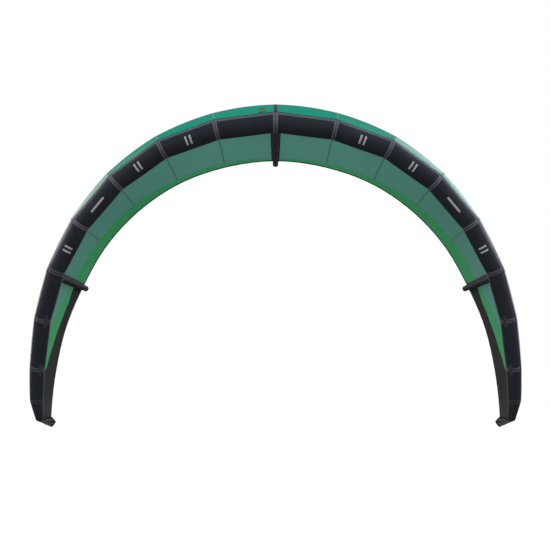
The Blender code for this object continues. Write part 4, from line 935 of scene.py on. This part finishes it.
# A strip of this width on the canopy, with the line of (u, v) in its middle. Metres across it are
# turned into steps of u and v through the slopes of the cloth, so it follows the cloth. It lies on
# the top, on the under side, or wraps both; its rims are eased down to 0.3 of its rise.
def makeClothStrip(name, side, u, v, width, rise, material, slot, face="both", ease=0.0012, columns=9):
    u, v = np.broadcast_arrays(np.asarray(u, float), np.asarray(v, float))
    centre = clothBase(u, v)
    across = unit(np.cross(unit(np.gradient(centre, axis=0)), clothNormal(u, v)))
    stepU, stepV = 0.01, 0.004
    inU, inV = np.clip(u, 2 * stepU, lastSection - 2 * stepU), np.clip(v, stepV, 1.0 - stepV)
    byU = (clothBase(inU + stepU, inV) - clothBase(inU - stepU, inV)) / (2 * stepU)
    byV = (clothBase(inU, inV + stepV) - clothBase(inU, inV - stepV)) / (2 * stepV)
    uu, uv, vv = (byU * byU).sum(axis=1), (byU * byV).sum(axis=1), (byV * byV).sum(axis=1)
    towardU, towardV = (across * byU).sum(axis=1), (across * byV).sum(axis=1)
    turnU = (vv * towardU - uv * towardV) / (uu * vv - uv**2)
    turnV = (uu * towardV - uv * towardU) / (uu * vv - uv**2)
    half = np.broadcast_to(np.asarray(width) / 2, u.shape)[:, None]
    offset = half * np.linspace(-1.0, 1.0, columns)
    proud = rise * (0.3 + 0.7 * smoothStep((half - np.abs(offset)) / ease))
    gridU, gridV = u[:, None] + offset * turnU[:, None], v[:, None] + offset * turnV[:, None]
    over = clothBeyond(gridU, gridV, lay["inCloth"] if face == "under" else canopy["thickness"] + proud)
    under = clothBeyond(gridU, gridV, lay["inCloth"] if face == "top" else -proud)
    run = np.append(0.0, np.cumsum(np.linalg.norm(np.diff(centre, axis=0), axis=1)))
    makeShell(name, side, over, under, np.broadcast_arrays(run[:, None], offset), [material], slot)


# Struts: tubes under the canopy whose radius shrinks in a straight line towards the rear
strut = dict(centreRadius=0.060, sideRadius=0.040, rearRadius=0.0245, overhang=0.03, capLength=0.028,
             collarShare=0.3, wall=0.0012, gap=0.0003, rows=80, columns=64, cope=0.0015,
             foldDepth=0.0008, folds=19, frontFade=0.05, rearFade=0.03,
             airFront=0.13, airRear=0.004, airGap=0.0025, tape=0.02, tapeFront=0.001, tapeRise=0.0008,
             tapeEase=0.12, tapeSunk=0.0006, seamHalf=0.006, seamRise=0.0007, seamSunk=0.0008, lift=0.0003,
             saddleShare=0.8, saddleRim=0.014, saddleRise=0.0008)
strutPlaces = {"centre": (0.0, 1, strut["centreRadius"]), "left": (sideStrutAt, -1, strut["sideRadius"]),
               "right": (sideStrutAt, 1, strut["sideRadius"])}


# A strut's axis below the cloth at each share of the chord, its three directions and its radii.
# Past the chord's end it carries on straight.
def strutFrame(station, share, radius):
    v = np.minimum(share, 1.0)
    step = 0.001
    before, past = np.maximum(v - step, 0.0), np.minimum(v + step, 1.0)
    along = unit(clothBase(station, past) - clothBase(station, before))
    outward = flatOutward[int(station)]
    up = unit(outward - (along @ outward)[..., None] * along)
    radii = radius + (strut["rearRadius"] - radius) * v
    centre = clothBase(station, v) - (radii + strut["gap"])[..., None] * up
    centre = centre + (np.maximum(share - 1.0, 0.0) * chordAt(station))[..., None] * along
    return centre, along, up, np.cross(along, up), radii


# Point of a strut's surface: centre + radius * (cos(angle) * up + sin(angle) * across)
def strutPoint(station, share, angle, radius, growth=0.0, scale=1.0):
    centre, along, up, across, radii = strutFrame(station, share, radius)
    reach = radii * scale + growth
    return centre + reach[..., None] * (np.cos(angle)[..., None] * up + np.sin(angle)[..., None] * across)


# Share of the chord where each line of the strut leaves the tube, so that its front is coped
def copedStart(station, angle, radius):
    share = np.linspace(0.0, 0.25, 600)
    ss, aa = gridOf(share, angle)
    points = strutPoint(station, ss, aa, radius)
    seam = int(station)
    if seam == 0:
        points = sided(points, np.sign(points[..., 0]))
    inside = np.zeros(ss.shape, bool)
    for k in range(max(seam - 1, 0), seam + 1):
        run = axisPoints[k + 1] - axisPoints[k]
        t = np.clip(((points - axisPoints[k]) @ run) / (run @ run), 0, 1)
        rim = tubeRadii[k] + (tubeRadii[k + 1] - tubeRadii[k]) * t + strut["cope"]
        inside |= np.linalg.norm(points - axisPoints[k] - t[..., None] * run, axis=-1) < rim
    last = np.where(inside, np.arange(len(share))[:, None], 0).max(axis=0)
    return share[np.minimum(last + 1, len(share) - 1)]


# A closed shell inside a strut or on its end, from shares of the chord and scales of the radius.
def strutShell(part, name, shares, scales, angle, growth, hollow, material, slot, node, padded=False):
    station, side, radius = strutPlaces[name]
    ss, aa = gridOf(shares, angle)
    kk = gridOf(scales, angle)[0]
    over = strutPoint(station, ss, aa, radius, growth * kk, kk)
    centre = over.mean(axis=1, keepdims=True)
    uv = gridOf(shares * chordAt(station), radius * np.linspace(0, 2 * np.pi, len(angle) + 1))
    makeShell(part + name, side, over, centre + (over - centre) * hollow, uv, [material], slot, node + name,
              padded=padded, wrapCols=True, poles=True)


def makeStrut(name, materials):
    station, side, radius = strutPlaces[name]
    chord = float(chordAt(station))
    angle = fullTurn(strut["columns"])
    wrapped = radius * np.linspace(0, 2 * np.pi, strut["columns"] + 1)
    start = copedStart(station, angle, radius)
    end = 1.0 + (strut["overhang"] - strut["capLength"]) / chord
    share = start + (end - start) * np.linspace(0.0, 1.0, strut["rows"])[:, None]
    fade = np.exp(-(share - start) * chord / strut["frontFade"])
    fade = fade + np.exp(-(end - share) * chord / strut["rearFade"])
    folds = (0.5 + 0.5 * np.sin(strut["folds"] * angle + 1.0)) * (1 - np.cos(angle)) / 2
    skin = -strut["foldDepth"] * fade * folds
    over = strutPoint(station, share, angle, radius, skin)
    under = strutPoint(station, share, angle, radius, skin - strut["wall"])
    uAlong = np.concatenate([share, share[:, :1]], axis=1) * chord
    makeShell("strut_cloth_" + name, side, over, under, np.broadcast_arrays(uAlong, wrapped),
              [materials["cloth"]], "strut_dacron", "strut_sleeve_" + name, padded=True, wrapCols=True)

    # Cap: a collar of webbing folded over the end, then a dome
    seat = end + strut["gap"] / chord
    capShare = strut["capLength"] / chord
    collar = capShare * strut["collarShare"]
    turn = np.linspace(0.0, np.pi / 2, 12)
    shares = np.append([seat, seat, seat + 0.3 * collar], seat + collar + (capShare - collar) * np.sin(turn))
    scales = np.append([0.0, 1.0, 1.02], 1.02 * np.cos(turn))
    scales[-1] = 0.0
    strutShell("strut_end_", name, shares, scales, angle, 0.0, 0.6, materials["cap"], "black_webbing",
               "strut_cap_")

    # Air bladder inside, closed at both ends
    shares = np.linspace(strut["airFront"] / chord, end - strut["airRear"] / chord, 40)
    shares = np.concatenate([shares[:1], shares, shares[-1:]])
    scales = np.concatenate([[0.0], np.ones(40), [0.0]])
    strutShell("strut_air_", name, shares, scales, angle[::2], -strut["airGap"], 0.97, materials["film"],
               "clear_urethane", "strut_bladder_", padded=True)

    # Tape round the front where the strut is sewn to the tube
    t = np.linspace(0.0, 1.0, 9)[:, None]
    share = start + (t * strut["tape"] - strut["tapeFront"]) / chord
    lift = strut["lift"] + strut["tapeRise"] * smoothStep(np.minimum(t, 1.0 - t) / strut["tapeEase"])
    across, around = gridOf(strut["tape"] * (t[:, 0] - 0.5), wrapped)
    makeShell("strut_tape_" + name, side, strutPoint(station, share, angle, radius, lift),
              strutPoint(station, share, angle, radius, -strut["tapeSunk"]), (around, across),
              [materials["tape"]], "charcoal_dacron", wrapCols=True)

    # Closing seam along the under side
    half = strut["seamHalf"]
    reach = half * np.linspace(-1.0, 1.0, 7)
    shares = np.linspace(start[strut["columns"] // 2] + 0.001, end - 0.001, 90)
    ss, tt = gridOf(shares, reach)
    lift = strut["lift"] + strut["seamRise"] * smoothStep((half - np.abs(tt)) / lay["ease"])
    aa = np.pi + tt / radius
    makeShell("strut_seam_" + name, side, strutPoint(station, ss, aa, radius, lift),
              strutPoint(station, ss, aa, radius, -strut["seamSunk"]), gridOf(shares * chord, reach),
              [materials["seam"]], "strut_dacron")

    # Saddle that carries the strut: a strip of cloth on the canopy's under side, wider than it.
    # Its dark colour is partly painted shadow: the shade beside the strut on the cloth.
    v = np.linspace(start[0] + 0.01, 0.997, 80)
    width = 2 * (strut["saddleShare"] * (radius + (strut["rearRadius"] - radius) * v) + strut["saddleRim"])
    makeClothStrip("strut_saddle_" + name, side, station, v, width, strut["saddleRise"], materials["saddle"],
                   "green_ripstop", "under", columns=21)


# Hoses from the back of the tube to the struts: a cubic curve from port to entry that leaves
# along the normals of both. The ends are given for the centre and for the right side.
hose = dict(frontHandle=0.10, rearHandle=0.06, radius=0.008, wall=0.0014, pinchWidth=0.021,
            pinchThickness=0.0034, pinchBore=0.25, flatness=(2.0, 1.6), biteShare=0.45, biteHalf=0.007,
            run=0.018, inside=0.0025, rings=120, sides=28)
hoseEnds = {
    "centre": ((0.04922, 0.07425, 0.00864), (-0.0290, 0.9801, 0.1962),
               (0.03531, 0.23225, 0.10791), (0.7050, 0.1981, -0.6810)),
    "side": ((1.73810, 0.42327, -1.14408), (0.0882, 0.9485, 0.3043),
             (1.76874, 0.57084, -1.12894), (-0.3627, 0.0539, -0.9303)),
}


# The section goes from a circle to a flat stadium, both by its angle, where the clip bites.
def makeHose(name, material):
    station, side, radius = strutPlaces[name]
    port, leave, entry, arrive = (np.array(item) for item in hoseEnds["centre" if station == 0 else "side"])
    t = np.linspace(0.0, 1.0, hose["rings"])[:, None]
    first, second = port + hose["frontHandle"] * leave, entry + hose["rearHandle"] * arrive
    line = (1 - t) ** 3 * port + 3 * (1 - t) ** 2 * t * first + 3 * (1 - t) * t**2 * second + t**3 * entry
    line = np.concatenate([[port - hose["inside"] * leave], line, [entry - hose["inside"] * arrive]])
    along = unit(np.gradient(line, axis=0))
    walked = np.append(0.0, np.cumsum(np.linalg.norm(np.diff(line, axis=0), axis=1)))
    total = walked[-1] - 2 * hose["inside"]
    away = np.abs(walked - hose["inside"] - hose["biteShare"] * total)
    squash = (1.0 - smoothStep((away - hose["biteHalf"]) / hose["run"]))[:, None]
    sideways = strutFrame(station, np.float64(0.3), radius)[3]
    wide = unit(sideways - (along @ sideways)[:, None] * along)
    thin = np.cross(along, wide)
    cosine, sine = np.cos(fullTurn(hose["sides"]))[None, :], np.sin(fullTurn(hose["sides"]))[None, :]
    half = hose["pinchThickness"] / 2
    flatX = (hose["pinchWidth"] / 2 - half) * np.clip(hose["flatness"][0] * cosine, -1, 1) + half * cosine
    flatY = half * np.clip(hose["flatness"][1] * sine, -1, 1)
    x = (1 - squash) * hose["radius"] * cosine + squash * flatX
    y = (1 - squash) * hose["radius"] * sine + squash * flatY
    reach = x[..., None] * wide[:, None] + y[..., None] * thin[:, None]
    roundBore = 1.0 - hose["wall"] / hose["radius"]
    bore = (roundBore + (hose["pinchBore"] - roundBore) * squash)[..., None]
    middle = line[:, None]
    makeShell("air_hose_" + name, side, middle + reach, middle + bore * reach,
              gridOf(walked, np.linspace(0.0, 0.05, hose["sides"] + 1)), [material], "grey_hose",
              "hose_" + name, wrapCols=True)


tubeAir = dict(end=8.5, rows=90, columns=40, gap=0.0028, wall=0.001)


# One long air bladder inside the leading edge, closed half way into each tip
def makeTubeBladder(material):
    half = np.append(np.linspace(0.0, tubeAir["end"], tubeAir["rows"]), tubeAir["end"])
    w = np.concatenate([half[::-1], half[1:]])
    sign = np.where(np.arange(len(w)) < len(half), -1.0, 1.0)
    ww, aa = gridOf(w, fullTurn(tubeAir["columns"]))
    skins = []
    for growth in (-tubeAir["gap"], -tubeAir["gap"] - tubeAir["wall"]):
        skin = sided(tubePoint(ww, aa, growth), sign[:, None])
        skin[[0, -1]] = skin[[0, -1]].mean(axis=1, keepdims=True)
        skins.append(skin)
    uv = gridOf(sign * spanOf(w), np.linspace(0, 0.46, tubeAir["columns"] + 1))
    makeShell("edge_air", 1, *skins, uv, [material], "clear_urethane", "leading_edge_bladder", padded=True,
              wrapCols=True, poles=True)


for side in (-1, 1):
    makePigtail(side, cordFinish)
print("cords made")

# Plain pale bars on the leading edge: station, distance along, half length, half height
bars = dict(degrees=-12.0, corners=14.0, rise=0.0002, sizes=(
    (1.5, 0.017, 0.0075, 0.036), (1.5, -0.017, 0.0075, 0.036), (2.5, 0.017, 0.0075, 0.036),
    (2.5, -0.017, 0.0075, 0.036), (3.5, 0.0, 0.075, 0.0085), (4.5, 0.017, 0.0075, 0.034),
    (4.5, -0.017, 0.0075, 0.034)))
# Round patches behind the tube: how far past the seam, radius and rise
ports = dict(degrees=168.75, valve=(0.16, 0.034, 0.0006), hose=(0.05, 0.021, 0.0008))


def makePort(name, side, seam, station, shape):
    past, radius, rise = ports[shape]
    station = station + past / stretchLengths[seam]
    makeTubePatch(name, side, station, ports["degrees"], radius, radius, 2.0, rise, patchCloth)


for side in (-1, 1):
    for index in range(lastStation - 1):
        makeTubePanel(index, side, edgeCloth)
    makeTubeTip(side, tipEdgeCloth)
    for seam in range(0 if side > 0 else 1, lastStation):
        makeSeamTape(seam, side, tapeCloth if seam < 5 else lowTapeCloth if seam < 8 else tipTapeCloth)
    makeJoinTape("canopy_tape", side, canopyTapeCloth)
    makeJoinTape("tip_joint_tape", side, tipJointCloth)
    makeClosingSeam(side, closingCloth)
    for seam in webbing["seams"]:
        makeTubePatch(f"line_patch_{seam}", side, seam, webbing["angleDegrees"], webbing["patchHalf"],
                      webbing["patchAcross"], 3.0, webbing["patchRise"], patchCloth)
        makeWebbing(seam, side, strapCloth)
    for number, (w, along, half, height) in enumerate(bars["sizes"]):
        station = w + along / stretchLengths[int(w)]
        makeTubePatch(f"plain_mark_{number + 1}", side, station, bars["degrees"], half, height,
                      bars["corners"], bars["rise"], markCloth)
makePort("valve_patch", -1, 0, 0.0, "valve")
makePort("hose_patch_centre", 1, 0, 0.0, "hose")
for side in (-1, 1):
    makePort("hose_patch", side, 5, sideStrutAt, "hose")
makeTubeBladder(bladderFilm)
print("leading edge made")

# Strips sewn to the canopy: width and rise
strips = dict(goreSeam=(0.013, 0.0005), bandSeam=(0.006, 0.0004), tipSeam=(0.007, 0.0005),
              flapRow=(0.0048, 0.0004), centreStrip=(0.027, 0.0008), sideStrip=(0.020, 0.0007),
              label=(0.070, 0.0005))
# Binding of the rear edge, which gets narrower towards the tip, and of the flap, which gets wider
rearBinding = dict(width=0.022, narrowing=0.012, narrowsFrom=8.2, narrowsOver=0.75, past=0.003, rise=0.0009)
flapBinding = dict(first=9.05, last=10.93, width=0.003, widening=0.0035, widensOver=0.2, rise=0.0007,
                   inset=0.0045, lowInset=0.012, lowFront=0.02, lowCount=70)
# Sewn rows on the flap: station and where each starts along the chord; they end before the binding
flapRows = dict(starts=((10.72, 0.24), (10.38, 0.34), (9.84, 0.46), (9.5, 0.62)), endGap=0.035)


# Corner flap: its edge is bound down the rear and forward along the bottom, and rows of stitching
# run over it from the front
def dressFlap(side):
    hand, shape, low = sideName(side), flapBinding, float(lastSection)
    rounded = lastSection - canopy["bottomRound"] * np.linspace(1.0, 0.0, 30)[1:] ** 2
    u = np.append(np.linspace(shape["first"], lastSection - canopy["bottomRound"], 50), rounded)
    forward = np.linspace(rearShare(low) - shape["lowInset"], shape["lowFront"], shape["lowCount"])
    v = np.append(rearShare(u) - shape["inset"], forward)
    u = np.minimum(np.append(u, np.full(shape["lowCount"], low)), shape["last"])
    width = shape["width"] + shape["widening"] * smoothStep((u - shape["first"]) / shape["widensOver"])
    makeClothStrip("flap_binding_" + hand, side, u, v, width, shape["rise"], bindingCloth, "dark_ripstop")
    for number, (u, first) in enumerate(flapRows["starts"]):
        v = np.linspace(first, rearShare(u) - flapRows["endGap"], 60)
        makeClothStrip(f"flap_row_{hand}_{number + 1}", side, u, v, *strips["flapRow"], flapSeamCloth,
                       "dark_ripstop", ease=0.0005, columns=7)


for side in (-1, 1):
    hand = sideName(side)
    for index in range(5):
        makeGore(index, side, [canopyTop, canopyUnder])
    makeWedge(side, [canopyTop, canopyUnder])
    makeTipCloth(side, [tipTop, tipUnder])
    u = np.linspace(0.0, lastStation, 260)
    narrowed = smoothStep((u - rearBinding["narrowsFrom"]) / rearBinding["narrowsOver"])
    wide = rearBinding["width"] - rearBinding["narrowing"] * narrowed
    v = 1.0 - (wide / 2 - rearBinding["past"]) / chordAt(u)
    makeClothStrip("rear_binding_" + hand, side, u, v, wide, rearBinding["rise"], rearBindingCloth,
                   "dark_ripstop")
    makeFrontCover(side, coverCloth)
    for seam in range(1, 5):
        v = np.linspace(0.02, bandShare(seam), 80)
        makeClothStrip(f"gore_seam_{hand}_{seam}", side, seam, v, *strips["goreSeam"], goreSeamCloth,
                       "green_ripstop")
    u = np.linspace(0.0, 6.12, 200)
    v = np.minimum(bandShare(u), np.where(u > sideStrutAt, tipBoundary(u) - 0.004, 1.0))
    makeClothStrip("band_seam_" + hand, side, u, v, *strips["bandSeam"], bandSeamCloth, "green_ripstop")
    u = np.append(np.linspace(sideStrutAt, 7, 80), np.linspace(7, 7.93, 80)[1:])
    makeClothStrip("tip_seam_" + hand, side, u, tipBoundary(u), *strips["tipSeam"], bindingCloth,
                   "dark_ripstop")
    dressFlap(side)
print("canopy made")

strutMaterials = dict(cloth=strutCloth, cap=capCloth, tape=tapeCloth, film=bladderFilm, seam=strutSeamCloth,
                      saddle=saddleAndShadeCloth)
for name in strutPlaces:
    makeStrut(name, strutMaterials)
    makeHose(name, hoseFinish)
v = np.linspace(0.0, 0.997, 90)
makeClothStrip("centre_strip", 1, 0.0, v, *strips["centreStrip"], centreStripCloth, "dark_ripstop", "top")
for side in (-1, 1):
    makeClothStrip("side_strip_" + sideName(side), side, sideStrutAt, v, *strips["sideStrip"],
                   centreStripCloth, "dark_ripstop", "top")
makeClothStrip("canopy_label", -1, np.linspace(0.16, 0.27, 24), 0.055, *strips["label"], labelCloth,
               "black_webbing", "top")
print("struts made")

nodeFinishes = {"hose_clip_base": plasticDark, "hose_clip_lever": plasticGrey,
                "valve_collar": plasticDark, "valve_insert": plasticGrey, "valve_cap": plasticDark}
for nodeName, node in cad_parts.items():
    starts = [start for start in nodeFinishes if nodeName.startswith(start)]
    for materialSlot in node.material_slots if starts else ():
        materialSlot.material = nodeFinishes[starts[0]]

# Floor far below the tips, which only shows from above
floorSize = dict(half=40.0, height=-3.6)
a, z = floorSize["half"], floorSize["height"]
floorMesh = bpy.data.meshes.new("floor")
floorMesh.from_pydata([(-a, -a, z), (a, -a, z), (a, a, z), (-a, a, z)], [], [(0, 1, 2, 3)])
floor = bpy.data.objects.new("floor", floorMesh)
sceneBox.collection.objects.link(floor)
floorFinish, g, shader, where = newMaterial("paleFloor")
dress(g, shader, g.scaled(linear((245, 245, 245)), g.math("MULTIPLY_ADD", g.noise(where, 3.0), 0.02, 0.99)),
      g.noise(where, 60.0), 0.001, g.math("MULTIPLY_ADD", g.noise(where, 9.0), 0.1, 0.85),
      Emission_Color=(1.0, 1.0, 1.0, 1.0), Emission_Strength=0.08,
      Alpha=g.math("SUBTRACT", 1.0, g.add("ShaderNodeNewGeometry", {}, out="Backfacing")))
floorMesh.materials.append(floorFinish)
floor.visible_diffuse = False
floor.visible_glossy = False

# Sky: soft light that is brightest overhead, a gloss of its own with a panel on each side, and
# plain white where the camera sees it. Pairs are where a step starts and ends.
studio = dict(bottom=0.35, top=1.28, lift=(-0.6, 0.85), side=0.08, sideFrom=(0.6, 0.95),
              sideAbove=(-0.1, 0.4), glossTop=(0.09, 0.13, 0.19, 1.0), glossLeft=(2.35, 1.9, 2.0, 1.0),
              glossRight=(1.9, 1.85, 2.1, 1.0), panelRight=0.6, panelTilt=-0.75, panelFrom=(0.0, 0.28),
              panelAbove=(-0.25, 0.15), centre=(-0.2, 0.2))
white = (1.0, 1.0, 1.0, 1.0)
world = bpy.data.worlds.new("studio")
sceneBox.world = world
world.use_nodes = True
world.node_tree.nodes.clear()
sky = Sketch(world.node_tree)
sideways = sky.add("ShaderNodeSeparateXYZ", {0: sky.add("ShaderNodeTexCoord", {}, out="Generated")})
height = sideways.node.outputs[2]
outward = sky.math("ABSOLUTE", sideways)
lift = sky.step(height, *studio["lift"])
level = sky.math("MULTIPLY_ADD", lift, studio["top"] - studio["bottom"], studio["bottom"])
flank = sky.math("MULTIPLY", sky.step(outward, *studio["sideFrom"]), sky.step(height, *studio["sideAbove"]))
soft = sky.scaled(white, sky.math("MULTIPLY_ADD", flank, studio["side"], level))
rightward = sky.math("MULTIPLY_ADD", sky.math("MAXIMUM", sideways, 0.0), studio["panelRight"], outward)
tilted = sky.math("MULTIPLY_ADD", height, studio["panelTilt"], rightward)
panel = sky.math("MULTIPLY", sky.step(tilted, *studio["panelFrom"]), sky.step(height, *studio["panelAbove"]))
panelColour = sky.mix(sky.step(sideways, *studio["centre"]), studio["glossLeft"], studio["glossRight"])
gloss = sky.mix(panel, sky.scaled(studio["glossTop"], lift), panelColour)
paths = sky.add("ShaderNodeLightPath", {}, out="Is Camera Ray")
shown = sky.mix(paths, sky.mix(paths.node.outputs["Is Glossy Ray"], soft, gloss), white)
lit = sky.add("ShaderNodeBackground", {"Color": shown, "Strength": 1.0})
sky.fill(world.node_tree.nodes.new("ShaderNodeOutputWorld"), {"Surface": lit})
print("floor and light made")
